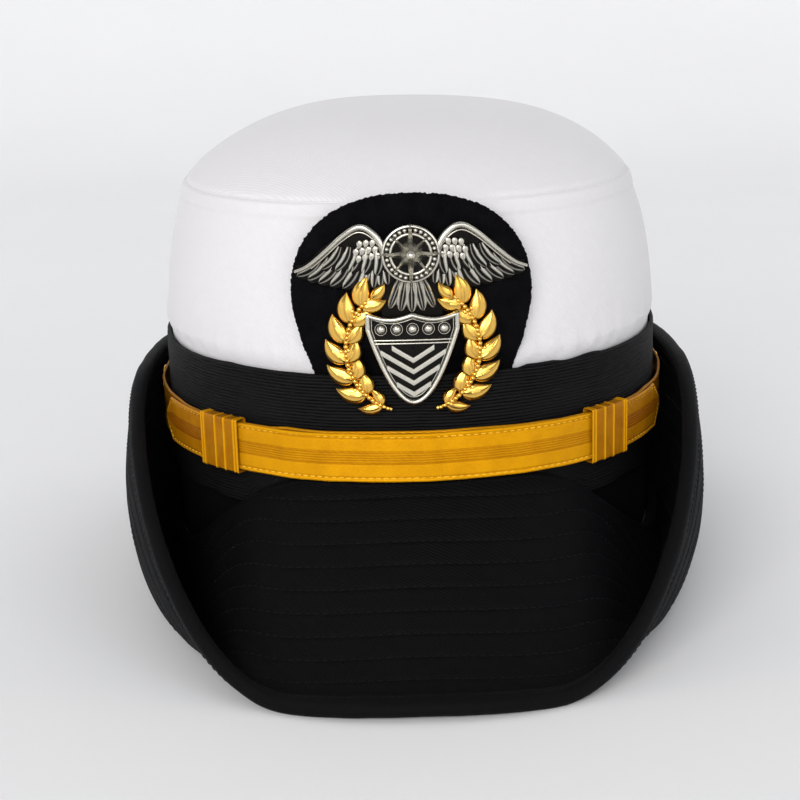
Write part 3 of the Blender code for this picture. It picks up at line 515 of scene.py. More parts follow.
class Finish:
    """Builds one procedural material around a Principled shader."""

    def __init__(self, name, **sockets):
        self.material = bpy.data.materials.new(name)
        self.material.use_nodes = True
        self.tree = self.material.node_tree
        self.shader = self.tree.nodes["Principled BSDF"]
        for socket, value in sockets.items():
            self.shader.inputs[socket.replace("_", " ")].default_value = value
        self.normal = None

    def add(self, kind, inputs=(), output=0, **settings):
        node = self.tree.nodes.new("ShaderNode" + kind)
        for key, value in settings.items():
            setattr(node, key, value)
        for key, value in dict(inputs).items():
            self.feed(node.inputs[key], value)
        return node.outputs[output]

    def feed(self, socket, value):
        if isinstance(value, bpy.types.NodeSocket):
            self.tree.links.new(value, socket)
        else:
            socket.default_value = value

    def in_millimetres(self, vector):
        return self.add("VectorMath", {0: vector, "Scale": 1 / MM}, operation="SCALE")

    def cloth(self):
        return self.in_millimetres(self.add("UVMap", uv_map="cloth"))

    def place(self):
        """Position in the model."""
        return self.in_millimetres(self.add("TexCoord", output=3))

    def stretched(self, vector, x, y, z):
        return self.add("VectorMath", {0: vector, 1: (x, y, z)}, operation="MULTIPLY")

    def tone(self):
        return self.add("Attribute", output=2, attribute_name="tone")

    def math(self, operation, first, second=0.0, third=0.0):
        return self.add("Math", {0: first, 1: second, 2: third}, operation=operation)

    def plus(self, first, second, share):
        """The first value with a share of the second added."""
        return self.math("MULTIPLY_ADD", second, share, first)

    def mixed(self, first, first_share, second, second_share):
        return self.plus(self.math("MULTIPLY", first, first_share), second, second_share)

    def mottled(self, tone, mottle, share):
        """A tone that a noise from 0 to 1 shifts up and down."""
        return self.plus(tone, self.math("SUBTRACT", mottle, 0.5), share)

    def waves(self, vector, x, y, pitch):
        """Ridges from 0 to 1, square to the given direction."""
        size = math.hypot(x, y)
        step = (TAU / pitch * x / size, TAU / pitch * y / size, 0.0)
        dot = self.add("VectorMath", {0: vector, 1: step}, output=1, operation="DOT_PRODUCT")
        return self.math("MULTIPLY_ADD", self.math("SINE", dot), 0.5, 0.5)

    def noise(self, vector, size, detail=3.0, rough=0.55):
        inputs = {"Vector": vector, "Scale": 1.0 / size, "Detail": detail, "Roughness": rough}
        return self.add("TexNoise", inputs)

    def span(self, value, low, high, to_low=0.0, to_high=1.0):
        inputs = {"Value": value, "From Min": low, "From Max": high, "To Min": to_low, "To Max": to_high}
        return self.add("MapRange", inputs)

    def colour(self, part, first, second):
        """Blends the base colour from the first to the second as the part goes from 0 to 1."""
        node = self.tree.nodes.new("ShaderNodeMix")
        node.data_type = "RGBA"
        for index, value in ((0, part), (6, rgb(*first)), (7, rgb(*second))):
            self.feed(node.inputs[index], value)
        self.feed(self.shader.inputs["Base Color"], node.outputs[2])

    def varied(self, noise, low, high):
        """A noise stretched to run between two values."""
        return self.span(noise, 0.3, 0.7, low, high)

    def dressed(self, part, first, second, *bumps, rough=None):
        """The material, with colour blended by a part from 0 to 1 and bumps of (height, depth in mm)."""
        self.colour(part, first, second)
        if rough is not None:
            self.feed(self.shader.inputs["Roughness"], rough)
        for height, depth in bumps:
            self.bump(height, depth)
        return self.material

    def bump(self, height, depth_mm):
        inputs = {"Height": height, "Distance": depth_mm * MM, "Strength": 1.0}
        if self.normal is not None:
            inputs["Normal"] = self.normal
        self.normal = self.add("Bump", inputs)
        self.feed(self.shader.inputs["Normal"], self.normal)


def twill_finish(name, dark, light, pitch, roughness, sheen, tint, yarn, gloss=0.07):
    """Diagonal weave: rounded ridges at 45 degrees, broken into short yarn floats."""
    made = Finish(name, Roughness=roughness, Sheen_Weight=sheen, Sheen_Roughness=0.4,
                  Sheen_Tint=rgb(*tint), Specular_IOR_Level=gloss)
    at = made.cloth()
    weave = made.plus(made.waves(at, 1.0, 1.0, pitch), made.waves(at, 1.0, -0.35, pitch * 0.8), 0.35)
    slub = made.noise(at, 2.4, 4.0)
    cloud = made.noise(at, 38.0, 2.0)
    level = made.plus(made.mixed(weave, 0.45, slub, 0.5), cloud, 0.25)
    return made.dressed(made.span(level, 0.25, 0.95), dark, light,
                        (weave, yarn), (made.noise(at, 0.5, 2.0), yarn * 0.6),
                        rough=made.varied(slub, roughness - 0.06, roughness + 0.06))


def mohair_finish():
    """Ribbed braid: short bright hairs across the ribs, with painted shade in the grooves."""
    made = Finish("mohair", Roughness=0.55, Specular_IOR_Level=0.1)
    at = made.cloth()
    hair = made.noise(made.stretched(at, 1.0, 0.25, 1.0), 0.35, 4.0, 0.7)
    cross = made.waves(at, 1.0, 0.12, 0.42)
    # The tone from the band is painted shade: it darkens the colour in the grooves between the ribs.
    level = made.plus(made.mixed(hair, 0.8, cross, 0.3), made.tone(), -0.6)
    return made.dressed(made.span(level, 0.1, 0.85), (0.0003, 0.0003, 0.0004), (0.010, 0.010, 0.011),
                        (cross, 0.05), (hair, 0.07), rough=made.varied(hair, 0.5, 0.75))


def felt_finish():
    """Matted fibres with a slightly uneven surface."""
    made = Finish("felt", Roughness=0.9, Sheen_Weight=0.008, Sheen_Roughness=0.5, Specular_IOR_Level=0.05)
    at = made.place()
    fuzz = made.noise(at, 0.45, 6.0, 0.75)
    cloud = made.noise(at, 6.0, 3.0)
    level = made.span(made.mixed(fuzz, 0.65, cloud, 0.35), 0.35, 0.65)
    return made.dressed(level, (0.0005, 0.0005, 0.0008), (0.0045, 0.004, 0.005), (fuzz, 0.22), (cloud, 0.2))


def lace_finish(name, bright, deep, metallic=0.15, roughness=0.45):
    """Gold lace: tone 0 is the bright satin face with painted highlights on raised cords, and 1 painted shade
    in the grooves between the ribs.
    """
    made = Finish(name, Metallic=metallic, Roughness=roughness, Specular_Tint=rgb(1.0, 0.62, 0.1),
                  Specular_IOR_Level=0.35)
    at = made.cloth()
    thread = made.waves(at, 0.15, 1.0, 0.36)
    twist = made.waves(at, 1.0, 0.6, 0.5)
    fibre = made.noise(at, 0.4, 3.0)
    tone = made.mottled(made.tone(), made.noise(at, 7.0, 3.0), 0.55)
    return made.dressed(made.span(made.mottled(tone, fibre, 0.35), 0.0, 1.0), bright, deep,
                        (made.plus(thread, twist, 0.6), 0.035), (fibre, 0.05),
                        rough=made.varied(fibre, roughness - 0.08, roughness + 0.12))


def metal_finish(name, bright, deep, roughness, stain):
    """Struck metal: tone 1 is a dark recess and 0 a polished height."""
    made = Finish(name, Metallic=1.0, Roughness=roughness)
    at = made.place()
    grain = made.noise(at, 0.35, 4.0)
    part = made.span(made.mottled(made.tone(), made.noise(at, 4.0, 3.0), stain), 0.05, 0.95)
    rough = made.plus(made.varied(grain, roughness - 0.05, roughness + 0.07), part, 0.3)
    return made.dressed(part, bright, deep, (grain, 0.012), rough=rough)


def leather_finish():
    """Fine pebbled grain."""
    made = Finish("sweat_leather", Roughness=0.42)
    at = made.cloth()
    cells = made.add("TexVoronoi", {"Vector": at, "Scale": 1.1}, feature="DISTANCE_TO_EDGE")
    cloud = made.noise(at, 18.0, 3.0)
    return made.dressed(made.varied(cloud, 0.0, 1.0), (0.018, 0.012, 0.010), (0.045, 0.030, 0.025),
                        (made.span(cells, 0.0, 0.25), 0.06), (made.noise(at, 0.4, 3.0), 0.03),
                        rough=made.varied(cloud, 0.36, 0.5))


def weave_finish(name, dark, light, pitch, roughness):
    """Plain weave: square yarns over and under."""
    made = Finish(name, Roughness=roughness, Specular_IOR_Level=0.3)
    at = made.cloth()
    weave = made.math("MULTIPLY", made.waves(at, 1.0, 0.0, pitch), made.waves(at, 0.0, 1.0, pitch))
    cloud = made.noise(at, 9.0, 4.0)
    return made.dressed(made.span(made.mixed(weave, 0.5, cloud, 0.6), 0.2, 0.8), dark, light, (weave, 0.1),
                        rough=made.varied(cloud, roughness - 0.08, roughness + 0.08))


def place_finish(name, dark, light, roughness, metallic, size, depth):
    """A mottled finish laid by position, for turned steel and pressed board."""
    made = Finish(name, Roughness=roughness, Metallic=metallic)
    at = made.place()
    grain = made.noise(at, size, 5.0, 0.65)
    streak = made.noise(made.stretched(at, 1.0, 1.0, 6.0), size * 3, 3.0)
    level = made.mixed(grain, 0.5, streak, 0.5)
    return made.dressed(made.span(level, 0.35, 0.65), dark, light, (level, depth),
                        rough=made.varied(grain, roughness - 0.08, roughness + 0.1))


COOL = (0.8, 0.85, 1.0)
WHITE = twill_finish("white_twill", (0.66, 0.645, 0.66), (0.735, 0.72, 0.735),
                     0.8, 0.5, 0.12, (1, 1, 1), 0.03, 0.25)
BLACK = twill_finish("black_twill", (0.0004, 0.0004, 0.0006), (0.0032, 0.0032, 0.0038),
                     0.7, 0.7, 0.008, COOL, 0.07)
TAPE = twill_finish("black_tape", (0.0008, 0.0008, 0.001), (0.0045, 0.0045, 0.005),
                    0.55, 0.65, 0.015, COOL, 0.08)
THREAD = twill_finish("black_thread", (0.002, 0.002, 0.0025), (0.009, 0.009, 0.010),
                      0.3, 0.55, 0.03, COOL, 0.05)
MOHAIR = mohair_finish()
FELT = felt_finish()
LACE = lace_finish("gold_lace", (0.72, 0.325, 0.0028), (0.25, 0.068, 0.0006))
LACE_THREAD = lace_finish("gold_thread", (0.93, 0.58, 0.05), (0.60, 0.25, 0.006), 0.2, 0.4)
BULLION = lace_finish("gold_bullion", (0.62, 0.27, 0.008), (0.10, 0.028, 0.001), 0.5, 0.35)
SILVER = metal_finish("antique_silver", (0.60, 0.575, 0.50), (0.012, 0.011, 0.010), 0.24, 0.3)
OXIDISED = metal_finish("oxidised_silver", (0.010, 0.009, 0.008), (0.003, 0.003, 0.003), 0.5, 0.5)
GILT = metal_finish("bright_gilt", (0.90, 0.55, 0.115), (0.16, 0.055, 0.006), 0.15, 0.3)
LEATHER_SKIN = leather_finish()
LINING = weave_finish("lining_satin", (0.03, 0.03, 0.035), (0.07, 0.07, 0.08), 0.4, 0.38)
CANVAS = weave_finish("canvas", (0.42, 0.38, 0.31), (0.62, 0.57, 0.48), 0.8, 0.85)
BUCKRAM = weave_finish("buckram", (0.36, 0.32, 0.25), (0.66, 0.62, 0.53), 1.9, 0.8)
BOARD = place_finish("pressed_board", (0.16, 0.13, 0.09), (0.30, 0.25, 0.18), 0.85, 0.0, 1.5, 0.1)
STEEL = place_finish("turned_steel", (0.38, 0.38, 0.39), (0.58, 0.58, 0.59), 0.32, 1.0, 0.6, 0.01)

# -------------------------------------------------------------------------------------- crown cover
BACK_SEAM_LOW, BACK_SEAM_HIGH = 96 * MM, 131 * MM


def build_side_panel():
    """White wall: gathered above the band, doubled below the top seam and joined at the back."""
    height = np.concatenate([
        np.linspace(SKIRT_BOTTOM, BAND_TOP - 1.5 * MM, 5, endpoint=False),
        np.linspace(BAND_TOP - 1.5 * MM, BACK_SEAM_LOW, 34, endpoint=False),
        np.linspace(BACK_SEAM_LOW, BACK_SEAM_HIGH, 44, endpoint=False),
        np.linspace(BACK_SEAM_HIGH, SEAM_HEIGHT, 34)])[None, :]
    run = ROUND * 95 * MM
    puckers = np.sin(run * TAU / (9 * MM) + 1.5 * wobble(run, 0 * run, 60 * MM, 3))
    slack = 0.16 * MM * puckers * ramp(height, 87 * MM, 89 * MM) * (1 - ramp(height, 89 * MM, 101 * MM))
    soft = 0.22 * MM * wobble(run, height, 55 * MM, 5) * ramp(height, 90 * MM, 100 * MM)
    soft = soft * (1 - ramp(height, 122 * MM, 131 * MM))
    fold = 0.40 * MM * ramp(height, 131.9 * MM, 133.9 * MM)
    tuck = -0.55 * MM * ramp(height, SEAM_HEIGHT - 1.0 * MM, SEAM_HEIGHT) ** 2
    off_seam = abs(ROUND - math.pi) * 112 * MM
    join = 0.18 * MM * bell(off_seam, 3.2 * MM, 1.6 * MM) - 0.5 * MM * bell(off_seam, 0.0, 0.5 * MM)
    face = raised(crown_face(ROUND, height), slack + soft + fold + tuck + join)
    shell_piece("crown_side_panel", face, CLOTH, WHITE, "cover_side", skip=4)


def build_top_panel():
    """White domed top, creased at its seam, with the grain running straight over it."""
    reach = np.concatenate([np.linspace(0.995, 0.90, 24, endpoint=False), np.linspace(0.90, 0.0005, 72)])
    reach = reach[None, :]
    dome = dome_face(ROUND, reach)
    crease = -0.4 * MM * ramp(reach, 0.98, 0.995) ** 2
    sway = 0.25 * MM * wobble(dome[..., 0], dome[..., 1], 70 * MM, 11) * (1 - ramp(reach, 0.85, 0.97))
    loops, _ = shelled(raised(dome, crease + sway), CLOTH, skip=6, rounded=False)
    grain = wrapped(loops)[..., :2]
    piece("crown_top_panel", Pile().grid(loops, closed_u=True, uv=grain), WHITE, "cover_tip")


def build_cover_seams():
    """Rolled seam round the top, and the stitches beside the back seam."""
    line = crown_face(ROUND, np.array([[SEAM_HEIGHT]]), 1.1 * MM)[:, 0]
    piece("crown_seam_roll", sweep(Pile(), line, (0, 0, 1), 0.65 * MM, closed=True), WHITE, "cover_piping")
    pile = Pile()
    for side in (-1, 1):
        z = np.linspace(BACK_SEAM_LOW, BACK_SEAM_HIGH, 40)
        line = crown_face(math.pi + side * 0.0285, z) + (0, 0.25 * MM, 0)
        stitches(pile, line, (0, 1, 0), 2.4 * MM, 0.17 * MM, closed=False)
    piece("crown_back_stitches", pile, WHITE, like="cover_side")


# ------------------------------------------------------------------------------- frame and bands
HOOD_DRAW = 1.8 * MM
HOOD_TOP = [0.8, 0.66, 0.5, 0.35, 0.2, 0.08, 0.0005]


def hood(low, high, shoulder, inset, pleat=0.0):
    """Wall and top inside the cover: drawn in near the top, with the dome's first reaches given."""
    height = mix(low, high, np.linspace(0, 1, 50)[None, :])
    draw = HOOD_DRAW * ramp(height, 118 * MM, high)
    draw = draw + pleat * np.sin(48 * ROUND) * ramp(height, 90 * MM, 130 * MM)
    wall = raised(crown_face(ROUND, height, inset), -draw)
    dome = dome_face(ROUND, np.array([shoulder + HOOD_TOP]), inset + HOOD_DRAW)
    return np.concatenate([wall, dome], axis=1)


def build_frame():
    edge = lower_edge(ROUND)
    frame_hood = hood(edge, 135 * MM, [0.985, 0.95, 0.9], COVER_OUT - FRAME_IN - FRAME_WALL)
    shell_piece("frame_buckram", frame_hood, FRAME_WALL, BUCKRAM, "crown_frame", rounded=False)
    lining_hood = hood(edge + 34 * MM, 133 * MM, [0.98, 0.94, 0.88], COVER_OUT - FRAME_IN + 2.6 * MM,
                       0.35 * MM)
    shell_piece("lining_satin", lining_hood, 0.5 * MM, LINING, "crown_lining", rounded=False)


# The CAD band is 1.4 mm thick. The ribs are cut into it, so less is left behind their face.
BRAID_WALL = 1.0 * MM
RIB_PITCH, RIB_DEPTH = 1.02 * MM, 0.45 * MM


def build_band():
    """Ribbed braid that sways a little, with its upper edge rounded off."""
    height = mix(band_bottom(ROUND), BAND_TOP, np.linspace(0, 1, 236)[None, :])
    run = ROUND * 100 * MM
    sway = 0.12 * MM * wobble(run, height, 26 * MM, 21)
    rib = np.sqrt(abs(np.sin(math.pi * (height + sway - BAND_TOP) / RIB_PITCH)) + 1e-6)
    relief = RIB_DEPTH * (rib - 1) - 0.35 * MM * ramp(height, BAND_TOP - 0.9 * MM, BAND_TOP) ** 2
    relief = relief + 0.05 * MM * wobble(run, height, 9 * MM, 22)
    height = height + 0.15 * MM * wobble(run, 0 * run, 30 * MM, 23)
    face = head_face(ROUND, height, BAND_OUT + relief, TAB_SLOT)
    # The tone, highest deep in each groove between the ribs, is painted shade there.
    shell_piece("band_ribbed_braid", face, BRAID_WALL, MOHAIR, "mohair_band", tone=1 - rib, skip=12)


def build_strips():
    """The plain strips inside the band, and the sweatband with its tape and stitches."""
    edge, band = lower_edge(ROUND), band_bottom(ROUND)
    for name, finish, node, low, high, inside, wall in (
            ("band_canvas", CANVAS, "band_backing", band, SKIRT_BOTTOM - GAP, COVER_IN, CLOTH),
            ("side_cloth_ring", BLACK, "side_cloth", edge, band - GAP, COVER_IN, CLOTH),
            ("sweatband_leather", LEATHER_SKIN, "sweatband", edge + GAP, edge + 33 * MM, 0.0, LEATHER),
            ("sweatband_edge_tape", CANVAS, "sweatband_tape", edge - 1.3 * MM, edge - GAP, 0.0, COVER_OUT)):
        height = mix(low, high, np.linspace(0, 1, 14)[None, :])
        shell_piece(name, head_face(ROUND, height, inside + wall), wall, finish, node)
    pile = Pile()
    line = head_face(ROUND, edge + 30.5 * MM, 0.0)[:, 0]
    stitches(pile, line, -away_from_head(line), 3.0 * MM, 0.22 * MM)
    piece("sweatband_stitches", pile, THREAD, like="sweatband")


# --------------------------------------------------------------------------------------------- brim
STITCH_ROWS = [(11.0 + 7.4 * k) * MM for k in range(12)]
STITCH_REST = 0.3 * MM


def from_rim(count, whole, last):
    """Distances inside the rim for a face's columns, from the junction out to the last one."""
    return np.linspace(1, 0, count)[None, :] * (whole - last) + last


def unrolled(angle, distance):
    """Brim cloth coordinates with a straight grain, as if the section lay flat."""
    x, y = oval(angle, RIM_HALF_WIDTH, RIM_FRONT, RIM_BACK, RIM_POWER)
    side, ahead = np.sin(angle), -np.cos(angle)
    return np.stack(np.broadcast_arrays(x - side * distance, y - ahead * distance), -1)


def build_brim_cloth(whole):
    """Upper and lower cloth, pressed in along the stitch rows and a little full between them."""
    distance = from_rim(236, whole, 0.9 * MM)
    middle, _, normal = brim_frames(ROUND, distance)
    pinch = -0.28 * MM * sum(bell(distance, row, 0.75 * MM) for row in STITCH_ROWS)
    pinch = pinch * ramp(whole - distance, 1 * MM, 4 * MM)
    for name, node, sign in (("brim_upper_cloth", "brim_top_cover", 1),
                             ("brim_under_cloth", "brim_under_cover", -1)):
        puff = 0.10 * MM * wobble(ROUND * 110 * MM, distance, 16 * MM, 31 + sign)
        lift = BRIM_FACE + pinch + puff * ramp(distance, 5 * MM, 9 * MM)
        loops, index = shelled(middle + sign * normal * lift[..., None], COVER_WALL, side=-sign, skip=8)
        loops[..., 2] = np.maximum(loops[..., 2], 0.0)
        grain = wrapped(unrolled(ROUND, distance)[:, index])
        piece(name, Pile().grid(loops, closed_u=True, uv=grain), BLACK, node)


def brim_stitches(pile, distance, lift, pitch, fill):
    """A row of stitches on both faces of the brim, wherever it is deep enough for the row."""
    angle = turns(1200)[:, None]
    keep = (brim_length(angle) > distance + 3 * MM)[:, 0]
    if not keep.any():
        return
    order = np.roll(np.arange(len(keep)), -int(np.argmin(keep)))
    order = order[keep[order]]
    middle, _, normal = brim_frames(angle, np.full((1, 1), distance))
    for sign in (1, -1):
        line = (middle + sign * normal * lift)[order, 0]
        line[:, 2] = np.maximum(line[:, 2], STITCH_REST)
        stitches(pile, line, sign * normal[order, 0], pitch, 0.2 * MM, fill, closed=bool(keep.all()))


def brim_cord(distance, radius, sides):
    """A cord round the cap in the brim's middle surface."""
    middle, _, normal = brim_frames(ROUND, distance)
    return sweep(Pile(), middle[:, 0], normal[:, 0], radius, sides, closed=True)


def build_brim_inside(whole):
    """Stiffener, and the wire in the rim."""
    middle, _, normal = brim_frames(ROUND, from_rim(40, whole - 3 * MM, CORE_SETBACK))
    shell_piece("brim_stiffener", middle + normal * 0.3 * MM, 0.6 * MM, BOARD, "brim_core", side=-1)
    piece("brim_rim_wire", brim_cord(np.full((1, 1), WIRE_SETBACK), 0.5 * MM, 8), STEEL, "brim_wire")


def binding_outline():
    """Closed section of the bound edge: distance inside the rim, and height off the middle surface."""
    start, nose = 1.6 * MM, 2.3 * MM
    low = BINDING_FACE - BINDING_WALL
    upper = [(mix(BINDING_WIDTH, start, part), BINDING_FACE - 0.12 * MM * (1 - part) ** 6)
             for part in np.linspace(0, 1, 9)[:-1]]
    front = [(start - nose * math.cos(turn), BINDING_FACE * math.sin(turn))
             for turn in np.linspace(math.pi / 2, -math.pi / 2, 13)]
    lower = [(back, -above) for back, above in reversed(upper)]
    inside = [(BINDING_WIDTH, -low), (3.4 * MM, -low), (0.9 * MM, -low * 0.9), (0.2 * MM, 0.0),
              (0.9 * MM, low * 0.9), (3.4 * MM, low), (BINDING_WIDTH, low)]
    return upper + front + lower + inside


def build_binding():
    columns = []
    run = ROUND[:, 0] * 115 * MM
    for back, above in binding_outline():
        middle, outward, normal = brim_frames(ROUND, np.full((1, 1), max(back, 0.0)))
        above = above * (1 + 0.03 * wobble(run, back, 12 * MM, 41))[:, None]
        columns.append(middle[:, 0] + outward[:, 0] * max(-back, 0.0) + normal[:, 0] * above)
    rim = np.stack(columns, axis=1)
    rim[..., 2] = np.maximum(rim[..., 2], 0.0)
    piece("brim_rim_binding", Pile().grid(rim, closed_u=True), TAPE, "brim_binding")
    pile = Pile()
    brim_stitches(pile, BINDING_WIDTH - 0.9 * MM, BINDING_FACE - 0.05 * MM, 2.5 * MM, 0.66)
    piece("binding_stitches", pile, THREAD, like="brim_top_cover")


def build_brim():
    whole = brim_length(ROUND)
    build_brim_cloth(whole)
    piece("brim_join_roll", brim_cord(whole - 0.6 * MM, 1.75 * MM, 16), BLACK, like="brim_top_cover")
    pile = Pile()
    for row in STITCH_ROWS:
        brim_stitches(pile, row, BRIM_FACE - 0.16 * MM, 2.7 * MM, 0.7)
    piece("brim_stitches", pile, THREAD, like="brim_top_cover")
    build_brim_inside(whole)
    build_binding()


# ------------------------------------------------------------------------------- chin strap, keepers
def strap_ribs(across):
    """Relief and tone over the strap's width, 0 at the lower edge and 1 at the upper."""
    offset = abs(across - 0.5)
    cord = bell(offset, 0.474, 0.017)
    channel = bell(offset, 0.415, 0.016)
    groove = bell(offset, 0.135, 0.010)
    centre = 1 - ramp(offset, 0.115, 0.13)
    ribs = centre * (0.5 - 0.5 * np.cos(TAU * offset / 0.052))
    relief = 0.26 * cord - 0.16 * channel - 0.16 * groove + 0.14 * ribs - 0.06 * centre
    # The tone is painted light: painted shade in the grooves, the channels and between the centre ribs, and a
    # painted highlight on the raised edge cords.
    tone = 0.14 + 0.45 * groove + 0.5 * centre * (1 - 0.8 * ribs) + 0.35 * channel - 0.35 * cord
    return relief * MM, np.clip(tone, 0.0, 1.0)


def strap_layer(name, degrees, half_heights, outer, lift, node, wave, finish):
    """One lace layer. It waves a little, but lies flat where the keepers slide over it."""
    angle = np.radians(degrees)[:, None]
    off = abs(degrees)[:, None]
    across = np.linspace(0, 1, 90)[None, :]
    relief, tone = strap_ribs(across)
    run = angle * 92 * MM
    half = half_heights[:, None]
    free = 1 - ramp(off, 25, 30) * (1 - ramp(off, 53, 58))
    height = STRAP_MIDDLE + lift * free + (half - 0.35 * MM) * (2 * across - 1)
    height = height + 0.18 * MM * wobble(run, 0 * run, 34 * MM, wave) * free
    waver = 0.10 * MM * wobble(run, height, 14 * MM, wave + 1) * free
    squeeze = np.clip(half / STRAP_HALF, 0.15, 1.0)
    face = head_face(angle, height, outer - 0.26 * MM + relief * squeeze + waver, TAB_SLOT)
    loops, index = shelled(face, 0.8 * MM, skip=6, closed=False)
    past_keeper = 0.5 * ramp(off, 46.2, 47.0)
    tone = np.clip(tone + past_keeper, 0.0, 1.0)[:, index]
    piece(name, Pile().grid(loops, tone=tone), finish, node)


def strap_stitches(pile, degrees, height, depth, pitch, radius, fill):
    line = head_face(np.radians(degrees), height, STRAP_FACE - depth, TAB_SLOT)
    stitches(pile, line, away_from_head(line), pitch, radius, fill, closed=False, tone=0.1)


def build_strap():
    """Outer layer with pointed ends, inner layer with round ends, and the outer one's stitches."""
    point, tip = STRAP_POINT_ANGLE, STRAP_TIP_ANGLE
    degrees = np.concatenate([np.linspace(-tip, -point, 12, endpoint=False),
                              np.linspace(-point, point, 300), np.linspace(point, tip, 13)[1:]])
    half = STRAP_HALF * np.clip((tip - abs(degrees)) / 5.0, 0.07, 1.0)
    strap_layer("chin_strap_outer_lace", degrees, half, STRAP_FACE, 0.0, "chin_strap_front", 51, LACE)
    degrees = np.linspace(-97.4, 97.4, 420)
    past = np.maximum(abs(degrees) - 90.0, 0.0) / 7.6
    half = STRAP_HALF * np.sqrt(np.maximum(1 - past ** 2, 0.02))
    strap_layer("chin_strap_inner_lace", degrees, half, STRAP_OUT, 0.4 * MM, "chin_strap_rear", 54, BULLION)

    pile = Pile()
    for across in (0.085, 0.915):
        height = STRAP_BOTTOM + across * 2 * STRAP_HALF
        strap_stitches(pile, np.linspace(-60.5, 60.5, 600), height, 0.40 * MM, 2.3 * MM, 0.21 * MM, 0.72)
    for side in (-1, 1):
        for sign in (-1, 1):
            height = STRAP_MIDDLE + sign * STRAP_HALF * np.linspace(0.83, 0.10, 20)
            degrees = side * np.linspace(61.0, 65.2, 20)
            strap_stitches(pile, degrees, height, 0.35 * MM, 1.8 * MM, 0.2 * MM, 0.7)
    piece("chin_strap_stitches", pile, LACE_THREAD, like="chin_strap_front")


def rounded_box(middle, half, corner):
    """Points round a box with round corners: 6 on each corner and 12 on each straight side."""
    arcs = []
    for signs in ((1, -1), (1, 1), (-1, 1), (-1, -1)):
        turn = math.atan2(signs[1], signs[0]) + np.linspace(-math.pi / 4, math.pi / 4, 6)
        centre = middle + (half - corner) * np.array(signs)
        arcs.append(centre + corner * np.stack([np.cos(turn), np.sin(turn)], -1))
    rows = []
    for arc, following in zip(arcs, arcs[1:] + arcs[:1]):
        rows += [arc, mix(arc[-1], following[0], np.linspace(0, 1, 14)[1:-1, None])]
    return np.concatenate(rows)


def build_keepers():
    """Lace loops with raised cords, wrapped round both layers of the strap."""
    wall = 0.6 * MM
    inside = np.array((STRAP_IN - 0.45 * MM, STRAP_BOTTOM - 0.35 * MM))
    outside = np.array((STRAP_IN + 2.75 * MM, STRAP_TOP + 0.35 * MM))
    loop = rounded_box((inside + outside) / 2, (outside - inside) / 2 + wall, 0.7 * MM)
    ahead = unit(np.roll(loop, -1, 0) - np.roll(loop, 1, 0))
    out = np.stack([ahead[:, 1], -ahead[:, 0]], -1)
    share = np.linspace(0, 1, 80)
    cords = sum(bell(share, place, 0.022) for place in (0.03, 0.10, 0.34, 0.58, 0.90, 0.97))
    # The tone puts a painted highlight on the raised cords and painted shade on the lace between them.
    tones = np.clip(np.concatenate([0.72 - 0.85 * cords, np.full(20, 0.6)]), 0, 1)[:, None]
    angle = np.radians(mix(KEEPER_NEAR, KEEPER_FAR, share))[:, None]

    def section(lift):
        ring = loop + out * lift[:, None, None]
        return head_face(angle, ring[..., 1], ring[..., 0], TAB_SLOT)

    face = section((0.30 * cords - 0.22) * MM)
    back = section(np.full(80, -0.5 * MM))[::-1][::4]
    pile = Pile().grid(np.concatenate([face, back]), closed_u=True, tone=tones)
    both_sides("keeper_lace", pile, LACE, "keeper")


# ------------------------------------------------------------------------------------ side buttons
SHANK = ((1.5, -9.2, 0.5), (1.5, 0.0, 0.5), (5.6, 0.0, 0.6))
BUTTON = ((0.97, 0.25, 0.3), (1.0, 0.6, 0.0), (0.985, 0.95, 0.0), (0.94, 1.15, 0.0), (0.90, 1.15, 0.3),
          (0.875, 0.9, 0.8), (0.84, 0.85, 0.9), (0.81, 1.0, 0.4), (0.76, 1.3, 0.1), (0.66, 1.75, 0.0),
          (0.54, 2.15, 0.0), (0.40, 2.5, 0.0), (0.26, 2.75, 0.0), (0.12, 2.9, 0.0), (0.02, 2.93, 0.0))


def build_buttons():
    """Plain domed buttons with a rim and a faint fluting."""
    for side, word in ((1, "left"), (-1, "right")):
        low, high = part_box("button_" + word)
        face = side * (abs(high.x if side > 0 else low.x) - 3.0 * MM)
        radius = (high.z - low.z) / 2
        centre = (face, (low.y + high.y) / 2, (low.z + high.z) / 2)
        rows = [(r * MM, h * MM, tone) for r, h, tone in SHANK]
        rows += [(radius * r, h * MM, tone) for r, h, tone in BUTTON]

        def ripple(turn, r):
            inside = ramp(r, 0.05 * radius, 0.3 * radius) * (1 - ramp(r, 0.78 * radius, 0.82 * radius))
            return 0.14 * MM * np.cos(24 * turn) * inside

        piece("side_button_" + word, turned(Pile(), rows, centre, (side, 0, 0), 96, ripple), GILT,
              "button_" + word)


# --------------------------------------------------------------------------------------------- tab
def tab_outline(count):
    """The felt tab's outline from its lower left corner, over the top and down."""
    lower = np.linspace(TAB_BOTTOM, TAB_WIDEST, count // 4, endpoint=False)
    fall = ((TAB_WIDEST - lower) / TAB_FALL) ** (1 / TAB_FALL_POWER)
    side = np.stack([TAB_HALF_WIDTH - TAB_DRAW_IN * fall, lower], -1)
    turn = np.linspace(0, math.pi, count // 2)
    cosine, sine = np.cos(turn), np.sin(turn)
    arch = np.stack([TAB_HALF_WIDTH * np.copysign(abs(cosine) ** (2 / TAB_POWER), cosine),
                     TAB_WIDEST + (TAB_TOP - TAB_WIDEST) * sine ** (2 / TAB_POWER)], -1)
    corner = side[0, 0]
    base_x = np.linspace(-corner, corner, count // 6)[1:-1]
    base = np.stack([base_x, np.full(len(base_x), TAB_BOTTOM)], -1)
    line = np.concatenate([side, arch, side[::-1] * (-1, 1), base, side[:1]])
    return resampled(line, count, endpoint=False)


